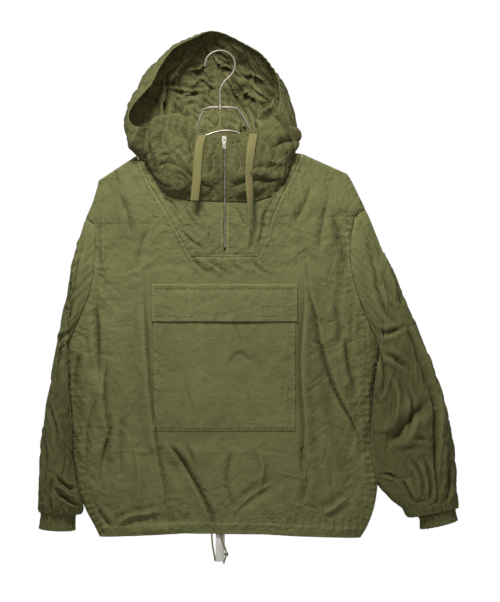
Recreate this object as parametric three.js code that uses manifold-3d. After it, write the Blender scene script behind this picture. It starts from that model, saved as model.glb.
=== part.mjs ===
// Anorak smock in cotton, hanging on a steel wire hanger. Millimetres, +Z up, front towards -Y.
// The origin is the inside top of the hanger's hook.
import * as THREE from 'three';
import Module from 'manifold-3d';
import { mergeVertices } from 'three/addons/utils/BufferGeometryUtils.js';

const cloth = 1.2;            // thickness of one wall of cloth with its seam allowance
const seamGap = 0.3;          // air left between two sewn pieces
const edgeHalf = cloth + 0.2; // distance of a closed edge's outer face from the plane between front and back
const wireRadius = 1.7;       // hanger wire
const zipX = 9;               // centre front line of the zip
const zipTop = -157;
const zipBottom = -358;
const slitHalf = 3.4;         // half width of the slit that the zip fills
const reliefHeight = 0.7;     // how far a turned band stands out of its panel
const armholeGap = 24;        // depth of the open armhole in front of and behind the middle plane
const armholeRound = 0.8;     // power that rounds the open armhole
const crownShare = 2.6;       // powers of the body's section across the chest
const crownRound = 0.75;
const cuffGathers = 22;

const olive = 0x6f7148;
const paint = (color, roughness, metalness) => new THREE.MeshStandardMaterial({ color, roughness, metalness });
const cotton = () => paint(olive, 0.9, 0);
const steel = () => paint(0xa9a9a6, 0.3, 1);

const garment = new THREE.Group();
garment.name = 'anorak_smock';
function add(name, geometry, material) {
  const mesh = new THREE.Mesh(geometry, material);
  mesh.name = name;
  garment.add(mesh);
}

// Tables: a value at a key between two rows, straight or smooth.
const mix = (a, b, t) => a + (b - a) * t;
const clamp = (v, low, high) => Math.min(Math.max(v, low), high);
function span(rows, column, key) {
  let i = 0;
  while (i < rows.length - 2 && key > rows[i + 1][column]) i += 1;
  const width = rows[i + 1][column] - rows[i][column];
  return { i, t: clamp((key - rows[i][column]) / width, 0, 1) };
}
function straight(rows, column, key, wanted) {
  const { i, t } = span(rows, column, key);
  return mix(rows[i][wanted], rows[i + 1][wanted], t);
}
function smooth(rows, column, key, wanted) {
  const { i, t } = span(rows, column, key);
  const at = (n) => rows[clamp(n, 0, rows.length - 1)];
  const slope = (n) => {
    const width = at(n + 1)[column] - at(n - 1)[column];
    return (at(n + 1)[wanted] - at(n - 1)[wanted]) / width;
  };
  const h = rows[i + 1][column] - rows[i][column];
  const t2 = t * t;
  const t3 = t2 * t;
  return (2 * t3 - 3 * t2 + 1) * rows[i][wanted] + (t3 - 2 * t2 + t) * h * slope(i)
    + (3 * t2 - 2 * t3) * rows[i + 1][wanted] + (t3 - t2) * h * slope(i + 1);
}

// A closed wall from a grid of outer points. inward(i, j, normal) gives the way to the inner face,
// keep(i, j) tells which cells are cloth, wrap joins the last column to the first.
function wall(grid, options) {
  const { keep = () => true, wrap = false, thickness = cloth, flip = false, inward = null, limit = null } = options;
  const rows = grid.length;
  const columns = grid[0].length;
  const point = (i, j) => grid[clamp(i, 0, rows - 1)][wrap ? (j + columns) % columns : clamp(j, 0, columns - 1)];
  const positions = [];
  const index = (i, j, inner) => (i * columns + (wrap ? (j + columns) % columns : j)) * 2 + inner;
  for (let i = 0; i < rows; i += 1) {
    for (let j = 0; j < columns; j += 1) {
      const outer = grid[i][j];
      const along = point(i + 1, j).clone().sub(point(i - 1, j));
      const across = point(i, j + 1).clone().sub(point(i, j - 1));
      const normal = along.cross(across).normalize();
      if (flip) normal.negate();
      const way = inward ? inward(i, j, normal.clone().negate()) : normal.clone().negate();
      const inner = outer.clone().addScaledVector(way, thickness);
      if (limit) limit(inner);
      positions.push(outer.x, outer.y, outer.z, inner.x, inner.y, inner.z);
    }
  }
  const triangles = [];
  const lastColumn = wrap ? columns : columns - 1;
  const cell = (i, j) => {
    if (i < 0 || i >= rows - 1) return false;
    if (!wrap && (j < 0 || j >= columns - 1)) return false;
    return keep(i, wrap ? (j + columns) % columns : j);
  };
  const face = (a, b, c) => triangles.push(...(flip ? [a, c, b] : [a, b, c]));
  const quad = (a, b, c, d) => {
    face(a, b, c);
    face(a, c, d);
  };
  for (let i = 0; i < rows - 1; i += 1) {
    for (let j = 0; j < lastColumn; j += 1) {
      if (!cell(i, j)) continue;
      const corner = (di, dj, inner) => index(i + di, j + dj, inner);
      quad(corner(0, 0, 0), corner(1, 0, 0), corner(1, 1, 0), corner(0, 1, 0));
      quad(corner(0, 0, 1), corner(0, 1, 1), corner(1, 1, 1), corner(1, 0, 1));
      if (!cell(i - 1, j)) quad(corner(0, 0, 0), corner(0, 1, 0), corner(0, 1, 1), corner(0, 0, 1));
      if (!cell(i + 1, j)) quad(corner(1, 1, 0), corner(1, 0, 0), corner(1, 0, 1), corner(1, 1, 1));
      if (!cell(i, j - 1)) quad(corner(1, 0, 0), corner(0, 0, 0), corner(0, 0, 1), corner(1, 0, 1));
      if (!cell(i, j + 1)) quad(corner(0, 1, 0), corner(1, 1, 0), corner(1, 1, 1), corner(0, 1, 1));
    }
  }
  const used = new Map();
  const kept = [];
  const order = triangles.map((n) => {
    if (!used.has(n)) {
      used.set(n, used.size);
      kept.push(positions[n * 3], positions[n * 3 + 1], positions[n * 3 + 2]);
    }
    return used.get(n);
  });
  const geometry = new THREE.BufferGeometry();
  geometry.setAttribute('position', new THREE.Float32BufferAttribute(kept, 3));
  geometry.setIndex(order);
  geometry.computeVertexNormals();
  return geometry;
}

// Body outline. Each row runs from the left edge over the two bib edges to the right edge, hem first.
// front and back are the half depths of the body in the middle of the row.
const bodyRows = [
  { left: [-218, -878], bibLeft: [-62, -866], bibRight: [78, -868], right: [254, -880], front: 50, back: 40 },
  { left: [-228, -858], bibLeft: [-61, -846], bibRight: [77, -848], right: [267, -858], front: 50, back: 40 },
  { left: [-243, -830], bibLeft: [-60, -822], bibRight: [76, -822], right: [278, -828], front: 50, back: 41 },
  { left: [-255, -798], bibLeft: [-60, -794], bibRight: [75, -794], right: [284, -795], front: 49, back: 41 },
  { left: [-262, -762], bibLeft: [-59, -762], bibRight: [75, -762], right: [285, -765], front: 48, back: 41 },
  { left: [-267, -722], bibLeft: [-58, -722], bibRight: [74, -722], right: [277, -725], front: 47, back: 40 },
  { left: [-269, -682], bibLeft: [-57, -682], bibRight: [73, -682], right: [274, -682], front: 46, back: 39 },
  { left: [-271, -642], bibLeft: [-57, -642], bibRight: [72, -642], right: [274, -640], front: 45, back: 38 },
  { left: [-276, -605], bibLeft: [-56, -604], bibRight: [71, -602], right: [277, -600], front: 44, back: 37 },
  { left: [-283, -572], bibLeft: [-55, -569], bibRight: [71, -566], right: [285, -560], front: 43, back: 36 },
  { left: [-293, -544], bibLeft: [-55, -537], bibRight: [70, -532], right: [293, -524], front: 42, back: 35 },
  { left: [-270, -515], bibLeft: [-54, -510], bibRight: [70, -507], right: [276, -503], front: 42, back: 34 },
  { left: [-252, -481], bibLeft: [-54, -480], bibRight: [69, -479], right: [262, -478], front: 41, back: 33 },
  { left: [-238, -450], bibLeft: [-53, -450], bibRight: [69, -450], right: [251, -450], front: 40, back: 32 },
  { left: [-229, -414], bibLeft: [-52, -414], bibRight: [68, -414], right: [240, -414], front: 39, back: 31 },
  { left: [-225, -376], bibLeft: [-52, -373], bibRight: [68, -373], right: [234, -372], front: 38, back: 30 },
  { left: [-225, -340], bibLeft: [-70, -340], bibRight: [83, -340], right: [236, -335], front: 37, back: 29 },
  { left: [-228, -313], bibLeft: [-86, -310], bibRight: [93, -306], right: [243, -300], front: 36, back: 28 },
  { left: [-243, -302], bibLeft: [-95, -294], bibRight: [99, -290], right: [262, -284], front: 35, back: 28 },
  { left: [-232, -276], bibLeft: [-111, -267], bibRight: [111, -263], right: [251, -261], front: 33, back: 27 },
  { left: [-224, -252], bibLeft: [-128, -239], bibRight: [126, -235], right: [240, -239], front: 30, back: 25 },
  { left: [-220, -234], bibLeft: [-151, -189], bibRight: [149, -186], right: [230, -222], front: 24, back: 22 },
];
const bibBottomRow = 15;
const armholeTopRow = 18;
const underarmRow = 10;
const topRow = bodyRows.length - 1;

const leftEdge = bodyRows.map((row) => ({ z: row.left[1], x: row.left[0] }));
const rightEdge = bodyRows.map((row) => ({ z: row.right[1], x: row.right[0] }));
const depthRows = bodyRows.map((row) => ({ z: row.bibLeft[1], front: row.front, back: row.back }));

// The shoulder line, with the neck opening bridged high over the middle.
const ridgeRows = [
  { x: -250, z: -262 }, { x: -220, z: -234 }, { x: -189, z: -208 }, { x: -151, z: -188 },
  { x: -126, z: -178 }, { x: 0, z: -120 }, { x: 126, z: -176 }, { x: 149, z: -185 },
  { x: 189, z: -201 }, { x: 230, z: -221 }, { x: 260, z: -240 },
];
const ridgeReach = 70;  // height over which the shoulders open to their full depth
const ridgePower = 0.6;

// Largest folds of the front and the back: a line from top to bottom, its half width and its depth.
// A negative depth is a ridge. bow bends the line sideways.
const frontFolds = [
  { from: [-140, -374], to: [-92, -845], bow: -14, half: 22, depth: 7 },
  { from: [-222, -455], to: [-215, -600], bow: 6, half: 20, depth: 7 },
  { from: [-204, -552], to: [-222, -770], bow: 12, half: 22, depth: 6 },
  { from: [-110, -690], to: [-14, -870], bow: 8, half: 26, depth: 12 },
  { from: [150, -350], to: [178, -520], bow: 6, half: 22, depth: 7 },
  { from: [178, -500], to: [266, -830], bow: -16, half: 24, depth: 10 },
  { from: [218, -512], to: [245, -640], bow: 5, half: 18, depth: 6 },
  { from: [-52, -376], to: [20, -424], bow: 4, half: 20, depth: 5 },
  { from: [36, -372], to: [76, -420], bow: 4, half: 18, depth: 5 },
  { from: [200, -290], to: [228, -420], bow: 6, half: 20, depth: 5 },
  { from: [23, -832], to: [100, -774], bow: 5, half: 24, depth: 5 },
  { from: [180, -836], to: [232, -800], bow: -5, half: 24, depth: 5 },
  { from: [-44, -852], to: [-150, -858], bow: 4, half: 16, depth: -5 },
  { from: [-180, -740], to: [-196, -640], bow: 5, half: 24, depth: -5 },
];
const backFolds = [
  { from: [-60, -250], to: [-96, -640], bow: 12, half: 26, depth: 8 },
  { from: [70, -240], to: [120, -700], bow: -14, half: 26, depth: 9 },
  { from: [-190, -420], to: [-170, -820], bow: 14, half: 26, depth: 9 },
  { from: [190, -400], to: [205, -760], bow: -10, half: 24, depth: 8 },
  { from: [0, -520], to: [22, -860], bow: 12, half: 28, depth: 9 },
  { from: [-120, -700], to: [-96, -870], bow: -6, half: 22, depth: 8 },
  { from: [120, -740], to: [110, -872], bow: 6, half: 22, depth: -6 },
];
const foldSteps = 8;
// The cloth lies flat behind the pocket.
const pocketBox = { left: -119, right: 136, top: -440, bottom: -685 };
const flapBox = { left: -122, right: 139, top: -421, bottom: -489 };
const flatMargin = 34;
function pocketCalm(x, z) {
  const beside = Math.max(flapBox.left - x, x - flapBox.right, 0);
  const above = Math.max(z - flapBox.top, pocketBox.bottom - z, 0);
  return clamp(Math.hypot(beside, above) / flatMargin - 0.75, 0, 1);
}
function foldLine(fold, t) {
  const bend = fold.bow * Math.sin(Math.PI * t);
  const dx = fold.to[0] - fold.from[0];
  const dz = fold.to[1] - fold.from[1];
  const length = Math.hypot(dx, dz);
  return [fold.from[0] + dx * t - (bend * dz) / length, fold.from[1] + dz * t + (bend * dx) / length];
}
function foldDepth(folds, x, z) {
  let sum = 0;
  for (const fold of folds) {
    let nearest = Infinity;
    let place = 0;
    for (let n = 0; n < foldSteps; n += 1) {
      const [ax, az] = foldLine(fold, n / foldSteps);
      const [bx, bz] = foldLine(fold, (n + 1) / foldSteps);
      const run = (bx - ax) ** 2 + (bz - az) ** 2;
      const t = clamp(((x - ax) * (bx - ax) + (z - az) * (bz - az)) / run, 0, 1);
      const distance = Math.hypot(x - mix(ax, bx, t), z - mix(az, bz, t));
      if (distance < nearest) {
        nearest = distance;
        place = (n + t) / foldSteps;
      }
    }
    if (nearest > fold.half) continue;
    const across = Math.cos((nearest / fold.half) * (Math.PI / 2)) ** 2;
    sum += fold.depth * across * Math.sin(Math.PI * clamp(place, 0.06, 0.94)) ** 0.5;
  }
  return sum;
}

// Depth of the body's outer face from the middle plane at a point of the front view.
function bodyDepth(x, z, side) {
  const xLeft = straight(leftEdge, 'z', z, 'x');
  const xRight = straight(rightEdge, 'z', z, 'x');
  const middle = (xLeft + xRight) / 2;
  const share = clamp(Math.abs(x - middle) / ((xRight - xLeft) / 2), 0, 1);
  const edgeRows = x < middle ? 'left' : 'right';
  const top = bodyRows[armholeTopRow][edgeRows][1];
  const bottom = bodyRows[underarmRow][edgeRows][1];
  const place = clamp((z - bottom) / (top - bottom), 0, 1);
  const edge = armholeGap * Math.sin(Math.PI * place) ** armholeRound;
  const crown = (1 - share ** crownShare) ** crownRound;
  const ridge = straight(ridgeRows, 'x', x, 'z');
  const rise = clamp((ridge - z) / ridgeReach, 0, 1) ** ridgePower;
  const full = smooth(depthRows, 'z', z, side);
  const folds = side === 'front' ? frontFolds : backFolds;
  const calm = clamp(crown * rise * 3, 0, 1) * (side === 'front' ? pocketCalm(x, z) : 1);
  const depth = (edge + (full - edge) * crown) * rise - foldDepth(folds, x, z) * calm;
  return edgeHalf + Math.max(depth, 0);
}
const frontPoint = (x, z, out = 0) => new THREE.Vector3(x, -bodyDepth(x, z, 'front') - out, z);
const backPoint = (x, z, out = 0) => new THREE.Vector3(x, bodyDepth(x, z, 'back') + out, z);

// Front and back panels: left part, middle and right part of each row, with the hem band raised.
const leftColumns = 8;
const middleColumns = 6;
const rightColumns = 8;
function rowPoints(row, side) {
  const points = [];
  const put = (from, to, count, first) => {
    for (let n = first; n <= count; n += 1) {
      const t = n / count;
      points.push([mix(from[0], to[0], t), mix(from[1], to[1], t)]);
    }
  };
  put(row.left, row.bibLeft, leftColumns, 0);
  put(row.bibLeft, row.bibRight, middleColumns, 1);
  put(row.bibRight, row.right, rightColumns, 1);
  const place = side === 'front' ? frontPoint : backPoint;
  const band = row === bodyRows[0] || row === bodyRows[1] ? reliefHeight : 0;
  return points.map(([x, z]) => place(x, z, band));
}
const clearFront = (p) => { p.y = Math.min(p.y, -0.2); };
const clearBack = (p) => { p.y = Math.max(p.y, 0.2); };
const frontMost = (i, j) => i >= bibBottomRow && j >= leftColumns && j < leftColumns + middleColumns;
const evenInward = (side) => (i, j, way) => {
  const last = leftColumns + middleColumns + rightColumns;
  const atSeam = j === 0 || j === last || i === topRow;
  const atBib = i >= bibBottomRow && (j === leftColumns || j === leftColumns + middleColumns);
  const onBibBottom = i === bibBottomRow && j >= leftColumns && j <= leftColumns + middleColumns;
  return atSeam || atBib || onBibBottom ? new THREE.Vector3(0, side, 0) : way;
};
add('body_front', wall(bodyRows.map((row) => rowPoints(row, 'front')), {
  keep: (i, j) => !frontMost(i, j), flip: true, inward: evenInward(1), limit: clearFront,
}), cotton());

// The back runs up to a straight back neck between the shoulder seams.
const neckLeft = [-127, -184];
const neckRight = [126, -182];
const backRows = bodyRows.map((row, n) => {
  const t = clamp((n - bibBottomRow) / (topRow - bibBottomRow), 0, 1);
  if (t === 0) return row;
  const low = bodyRows[bibBottomRow];
  const toward = (a, b) => [mix(a[0], b[0], t), mix(a[1], b[1], t)];
  return { ...row, bibLeft: toward(low.bibLeft, neckLeft), bibRight: toward(low.bibRight, neckRight) };
});
add('body_back', wall(backRows.map((row) => rowPoints(row, 'back')), {
  inward: evenInward(-1), limit: clearBack,
}), cotton());

// Bib: four-sided patch between the two bib edges, its foot and the neckline, with the zip's slit.
const neckline = [
  { share: 0, x: -150.4, z: -188.8 }, { share: 0.07, x: -128, z: -186 }, { share: 0.13, x: -121, z: -214 },
  { share: 0.2, x: -113, z: -240 }, { share: 0.28, x: -96, z: -261 }, { share: 0.38, x: -56, z: -272 },
  { share: 0.5, x: zipX, z: -274 }, { share: 0.62, x: 62, z: -275 }, { share: 0.72, x: 94, z: -264 },
  { share: 0.8, x: 111, z: -240 }, { share: 0.87, x: 120, z: -212 }, { share: 0.93, x: 127, z: -184 },
  { share: 1, x: 148.4, z: -185.8 },
];
const bibRows = 8;
const bibColumns = 22;
const bibSlitRow = 1;
const bibEdgeRows = bodyRows.slice(bibBottomRow).map((row, n, all) => ({
  share: n / (all.length - 1),
  leftX: row.bibLeft[0] + seamGap, leftZ: row.bibLeft[1] + 0.2,
  rightX: row.bibRight[0] - seamGap, rightZ: row.bibRight[1] + 0.2,
}));
function bibPlace(across, up) {
  const edge = (key) => straight(bibEdgeRows, 'share', up, key);
  const top = (key) => straight(neckline, 'share', across, key);
  const first = bibEdgeRows[0];
  const last = bibEdgeRows[bibEdgeRows.length - 1];
  const foot = { x: mix(first.leftX, first.rightX, across), z: mix(first.leftZ, first.rightZ, across) + seamGap };
  const blend = (footValue, topValue, leftValue, rightValue, a, b, c, d) => mix(footValue, topValue, up)
    + mix(leftValue, rightValue, across) - mix(mix(a, b, across), mix(c, d, across), up);
  return [
    blend(foot.x, top('x'), edge('leftX'), edge('rightX'), first.leftX, first.rightX, last.leftX, last.rightX),
    blend(foot.z, top('z'), edge('leftZ'), edge('rightZ'), first.leftZ + seamGap, first.rightZ + seamGap,
      last.leftZ, last.rightZ),
  ];
}
const slitShare = 0.028;  // half width of the slit as a share of the bib's width
const bibShare = (j) => {
  const half = bibColumns / 2;
  return j < half ? mix(0, 0.5 - slitShare, j / (half - 1)) : mix(0.5 + slitShare, 1, (j - half) / half);
};
const bibGrid = [];
for (let i = 0; i <= bibRows; i += 1) {
  const row = [];
  for (let j = 0; j <= bibColumns; j += 1) {
    let [x, z] = bibPlace(bibShare(j), i / bibRows);
    if (j === bibColumns / 2 - 1) x = zipX - slitHalf;
    if (j === bibColumns / 2) x = zipX + slitHalf;
    row.push(frontPoint(x, z));
  }
  bibGrid.push(row);
}
add('front_bib', wall(bibGrid, {
  keep: (i, j) => !(i >= bibSlitRow && j === bibColumns / 2 - 1),
  flip: true, inward: () => new THREE.Vector3(0, 1, 0), limit: clearFront,
}), cotton());

// Pocket and flap, made from the front's points moved out.
const flapStep = { from: -431, to: -438 };  // where the flap rises over the pocket's top edge
const patchGap = 0.6;         // more air than at a seam, because the panels are faceted
const pocketOut = patchGap + cloth;
function patch(box, columns, rows, lift) {
  const grid = [];
  for (let i = 0; i <= rows; i += 1) {
    const row = [];
    for (let j = 0; j <= columns; j += 1) {
      const x = mix(box.left, box.right, j / columns);
      const z = mix(box.bottom, box.top, i / rows);
      row.push(frontPoint(x, z, lift(z)));
    }
    grid.push(row);
  }
  return wall(grid, { flip: true, inward: () => new THREE.Vector3(0, 1, 0) });
}
add('pocket', patch(pocketBox, 12, 10, () => pocketOut), cotton());
const flapLift = (z) => mix(pocketOut, 2 * pocketOut, clamp((flapStep.from - z) / (flapStep.from - flapStep.to), 0, 1));
add('pocket_flap', patch(flapBox, 12, 6, flapLift), cotton());

// Sleeves: rings from the armhole to the cuff. outer and inner are the ring's two edges in the front view,
// half its half depth and shift how far its middle lies behind the body's middle plane.
const sleeves = {
  left: [
    { outer: [-257, -347], inner: [-286, -576], half: 38, shift: 0 },
    { outer: [-265, -380], inner: [-281, -596], half: 44, shift: 1 },
    { outer: [-270, -405], inner: [-278, -616], half: 48, shift: 2 },
    { outer: [-284, -468], inner: [-275, -648], half: 52, shift: 4 },
    { outer: [-297, -531], inner: [-273, -684], half: 54, shift: 6 },
    { outer: [-310, -603], inner: [-272, -716], half: 55, shift: 7 },
    { outer: [-319, -666], inner: [-271, -745], half: 55, shift: 8 },
    { outer: [-325, -729], inner: [-267, -772], half: 54, shift: 8 },
    { outer: [-328, -775], inner: [-262, -797], half: 52, shift: 8 },
    { outer: [-329, -812], inner: [-258, -820], half: 47, shift: 8 },
    { outer: [-328, -834], inner: [-260, -838], half: 38, shift: 8 },
  ],
  right: [
    { outer: [290, -350], inner: [290, -560], half: 36, shift: 0 },
    { outer: [303, -376], inner: [285, -592], half: 40, shift: 1 },
    { outer: [318, -405], inner: [281, -622], half: 42, shift: 2 },
    { outer: [340, -458], inner: [280, -660], half: 43, shift: 3 },
    { outer: [362, -512], inner: [279, -700], half: 42, shift: 4 },
    { outer: [384, -573], inner: [282, -738], half: 41, shift: 4 },
    { outer: [404, -630], inner: [290, -768], half: 40, shift: 5 },
    { outer: [419, -690], inner: [303, -789], half: 38, shift: 5 },
    { outer: [426, -745], inner: [322, -809], half: 36, shift: 5 },
    { outer: [428, -795], inner: [342, -827], half: 34, shift: 5 },
    { outer: [432, -826], inner: [354, -844], half: 30, shift: 5 },
  ],
};
const sleeveSides = 28;
const sleeveRound = 0.85;  // power that makes the sleeve's section fuller than an ellipse
const armholeClear = 0.9;  // level distance that leaves a seam's gap where the armhole slants
const armholeDrop = { top: 1.2, rise: 0.4 };  // the ring lies this far below the seam's line
const sleeveWaves = [
  { at: 0.9, turn: 1.6, reach: 0.5, length: 3, depth: 6 },
  { at: 3.5, turn: 1.1, reach: 0.45, length: 3, depth: 6 },
  { at: 6.5, turn: 1.9, reach: 0.4, length: 3, depth: 6 },
  { at: 8.0, turn: 0.9, reach: 0.4, length: 2, depth: 5 },
  { at: 2.5, turn: 4.4, reach: 0.5, length: 4, depth: 7 },
  { at: 6.0, turn: 5.1, reach: 0.5, length: 4, depth: 7 },
  { at: 8.5, turn: 4.0, reach: 0.4, length: 2, depth: 5 },
];
function sleeveRing(row, angle, ringNumber) {
  const c = Math.cos(angle);
  const s = Math.sin(angle);
  const middle = [(row.outer[0] + row.inner[0]) / 2, (row.outer[1] + row.inner[1]) / 2];
  const half = [(row.outer[0] - row.inner[0]) / 2, (row.outer[1] - row.inner[1]) / 2];
  let dent = 0;
  for (const wave of sleeveWaves) {
    const turned = Math.abs(angle - wave.turn) / wave.reach;
    const away = Math.abs(ringNumber - wave.at) / wave.length;
    if (turned < 1 && away < 1) dent += wave.depth * Math.cos((turned * Math.PI) / 2) ** 2 * (1 - away * away);
  }
  const round = Math.sign(s) * Math.abs(s) ** sleeveRound;
  const fill = 1 - dent / row.half;
  return new THREE.Vector3(middle[0] + half[0] * c, row.shift - row.half * round * fill, middle[1] + half[1] * c);
}
// The first ring follows the armhole seam down the front and up the back, a seam's gap outside the body.
function armholePoint(edge, angle, sideways) {
  const rows = bodyRows.slice(underarmRow, armholeTopRow + 1).map((row) => row[edge]).reverse();
  const share = (1 - Math.cos(angle)) / 2;
  const z = mix(rows[0][1], rows[rows.length - 1][1], share);
  const sorted = rows.map(([x, height]) => ({ x, z: height })).reverse();
  const x = straight(sorted, 'z', z, 'x') + sideways * armholeClear;
  const top = rows[0][1];
  const bottom = rows[rows.length - 1][1];
  const place = clamp((z - bottom) / (top - bottom), 0, 1);
  const depth = Math.sin(angle) === 0 ? 0 : edgeHalf + armholeGap * Math.sin(Math.PI * place) ** armholeRound;
  const front = angle < Math.PI ? -1 : 1;
  const end = Math.min(Math.abs(Math.sin(angle)) * 8, 1);
  return new THREE.Vector3(x, front * depth * end, z - armholeDrop.top + armholeDrop.rise * share);
}
function sleeveGrid(edge, rows) {
  const sideways = edge === 'left' ? -1 : 1;
  const grid = [];
  for (let i = -1; i < rows.length; i += 1) {
    const ring = [];
    for (let j = 0; j < sleeveSides; j += 1) {
      const angle = (j / sleeveSides) * 2 * Math.PI;
      ring.push(i < 0 ? armholePoint(edge, angle, sideways) : sleeveRing(rows[i], angle, i));
    }
    grid.push(ring);
  }
  return grid;
}
for (const [edge, rows] of Object.entries(sleeves)) {
  const level = (j) => new THREE.Vector3(0, j < sleeveSides / 2 ? 1 : -1, 0);
  const inward = (i, j, way) => (i === 0 && j % (sleeveSides / 2) !== 0 ? level(j) : way);
  add(`sleeve_${edge}`, wall(sleeveGrid(edge, rows), { wrap: true, flip: edge === 'right', inward }), cotton());
}

// Cuffs: short elastic tubes with gathers, a seam's gap below the sleeve's last ring.
const cuffs = {
  left: { top: [-294, -836.5], across: [34, 2], bottom: [-296.5, -866], halfWidth: 33.5, halfDepth: 36, shift: 8, lift: 0.1 },
  right: { top: [393, -835.7], across: [39, 9], bottom: [396, -858], halfWidth: 35, halfDepth: 28, shift: 5, lift: 0.3 },
};
const gatherSteps = 4;
const gatherDepth = 2.4;
const cuffRows = [{ share: 0, swell: 0.985 }, { share: 0.3, swell: 0.91 }, { share: 1, swell: 0.95 }];
for (const [edge, cuff] of Object.entries(cuffs)) {
  const last = sleeves[edge][sleeves[edge].length - 1];
  const slope = (last.outer[1] - last.inner[1]) / (last.outer[0] - last.inner[0]);
  const count = cuffGathers * gatherSteps;
  const grid = cuffRows.map((row) => {
    const ring = [];
    for (let j = 0; j < count; j += 1) {
      const angle = (j / count) * 2 * Math.PI;
      const wave = row.share === 0 ? 0 : gatherDepth * Math.cos(angle * cuffGathers) * (0.6 + 0.4 * Math.sin(angle * 3 + 1));
      const x0 = mix(cuff.top[0], cuff.bottom[0], row.share);
      const z0 = mix(cuff.top[1], cuff.bottom[1], row.share);
      const dx = (cuff.halfWidth * row.swell + wave) * Math.cos(angle);
      const depth = (cuff.halfDepth * row.swell + wave) * Math.sin(angle);
      ring.push(new THREE.Vector3(x0 + dx, cuff.shift - depth, z0 + dx * slope + cuff.lift));
    }
    return ring;
  });
  add(`cuff_${edge}`, wall(grid, { wrap: true }), cotton());
}

// Hood with its high collar in one: four loops from the rim to the neckline. turn runs from the zip over
// the left side (0.25 to 0.4) and the top (0.5) to the right side and back to the zip.
const hoodLoops = [
  [ // rim
    { turn: 0, x: 5, y: -46, z: -157 }, { turn: 0.05, x: -25, y: -46, z: -157 },
    { turn: 0.09, x: -43, y: -44, z: -145 }, { turn: 0.13, x: -63, y: -41, z: -123 },
    { turn: 0.17, x: -82, y: -38, z: -117 }, { turn: 0.22, x: -113, y: -36, z: -125 },
    { turn: 0.26, x: -139, y: -36, z: -141 }, { turn: 0.29, x: -157, y: -31, z: -135 },
    { turn: 0.32, x: -163, y: -22, z: -117 }, { turn: 0.36, x: -150, y: -12, z: -93 },
    { turn: 0.4, x: -124, y: 0, z: -63 }, { turn: 0.435, x: -108, y: 10, z: -31 },
    { turn: 0.46, x: -83, y: 18, z: 2 }, { turn: 0.485, x: -45, y: 24, z: 22 },
    { turn: 0.5, x: -12, y: 26, z: 34 }, { turn: 0.53, x: 50, y: 22, z: 6 },
    { turn: 0.56, x: 80, y: 17, z: -15 }, { turn: 0.6, x: 102, y: 8, z: -48 },
    { turn: 0.66, x: 107, y: -5, z: -86 }, { turn: 0.72, x: 103, y: -16, z: -108 },
    { turn: 0.78, x: 93, y: -26, z: -125 }, { turn: 0.85, x: 75, y: -36, z: -140 },
    { turn: 0.92, x: 52, y: -43, z: -149 }, { turn: 1, x: 13, y: -46, z: -157 },
  ],
  [ // widest part behind the rim
    { turn: 0, x: 5, y: -53, z: -190 }, { turn: 0.07, x: -40, y: -56, z: -192 },
    { turn: 0.15, x: -85, y: -58, z: -186 }, { turn: 0.22, x: -124, y: -50, z: -176 },
    { turn: 0.28, x: -160, y: -30, z: -166 }, { turn: 0.33, x: -171, y: 0, z: -122 },
    { turn: 0.39, x: -157, y: 28, z: -62 }, { turn: 0.44, x: -116, y: 48, z: -4 },
    { turn: 0.47, x: -70, y: 58, z: 26 }, { turn: 0.5, x: -22, y: 64, z: 34 },
    { turn: 0.54, x: 42, y: 60, z: 12 }, { turn: 0.6, x: 114, y: 42, z: -52 },
    { turn: 0.66, x: 134, y: 15, z: -108 }, { turn: 0.72, x: 139, y: -12, z: -152 },
    { turn: 0.8, x: 114, y: -38, z: -180 }, { turn: 0.9, x: 60, y: -54, z: -190 },
    { turn: 1, x: 13, y: -53, z: -190 },
  ],
  [ // hanging back of the hood, and the collar's fold above the neckline
    { turn: 0, x: 5, y: -50, z: -236 }, { turn: 0.07, x: -40, y: -55, z: -242 },
    { turn: 0.15, x: -82, y: -52, z: -248 }, { turn: 0.22, x: -118, y: -38, z: -222 },
    { turn: 0.28, x: -150, y: -12, z: -172 }, { turn: 0.33, x: -158, y: 30, z: -150 },
    { turn: 0.39, x: -148, y: 72, z: -112 }, { turn: 0.44, x: -105, y: 98, z: -76 },
    { turn: 0.5, x: -5, y: 115, z: -64 }, { turn: 0.56, x: 92, y: 98, z: -80 },
    { turn: 0.61, x: 128, y: 72, z: -112 }, { turn: 0.67, x: 136, y: 30, z: -150 },
    { turn: 0.72, x: 133, y: -10, z: -180 }, { turn: 0.8, x: 112, y: -38, z: -228 },
    { turn: 0.9, x: 60, y: -50, z: -250 }, { turn: 1, x: 13, y: -50, z: -236 },
  ],
];
const shoulderTurn = 0.3;
const collarIn = 3.2;  // the collar's edge stands this far inside the shoulder seam's end
const collarOut = cloth + 2 * seamGap;  // the collar's lower edge laps over the bib's top edge
function necklinePoint(turn) {
  const lift = 2 * seamGap + 0.4;
  const left = turn <= 0.5;
  const toShoulder = left ? turn : 1 - turn;
  if (toShoulder <= shoulderTurn) {
    const share = mix(0.5, left ? 0.07 : 0.93, toShoulder / shoulderTurn);
    let x = straight(neckline, 'share', share, 'x');
    const z = straight(neckline, 'share', share, 'z') + lift;
    if (left) x = Math.min(x + collarIn, zipX - 4);
    else x = Math.max(x - collarIn, zipX + 4);
    return frontPoint(x, z, collarOut * clamp((shoulderTurn - toShoulder) / 0.04, 0, 1));
  }
  const corner = left ? neckLeft : neckRight;
  const t = (toShoulder - shoulderTurn) / (0.5 - shoulderTurn);
  const x = mix(corner[0] + (left ? collarIn : -collarIn), 0, t);
  const depth = mix(edgeHalf, bodyDepth(x, neckLeft[1], 'back'), Math.sqrt(t));
  return new THREE.Vector3(x, depth, neckLeft[1] + 2 + lift);
}
const hoodRings = 18;
const hoodSteps = 17;
const backPleats = { count: 7, depth: 5, from: 0.36, to: 0.66, fade: 0.06 };
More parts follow.
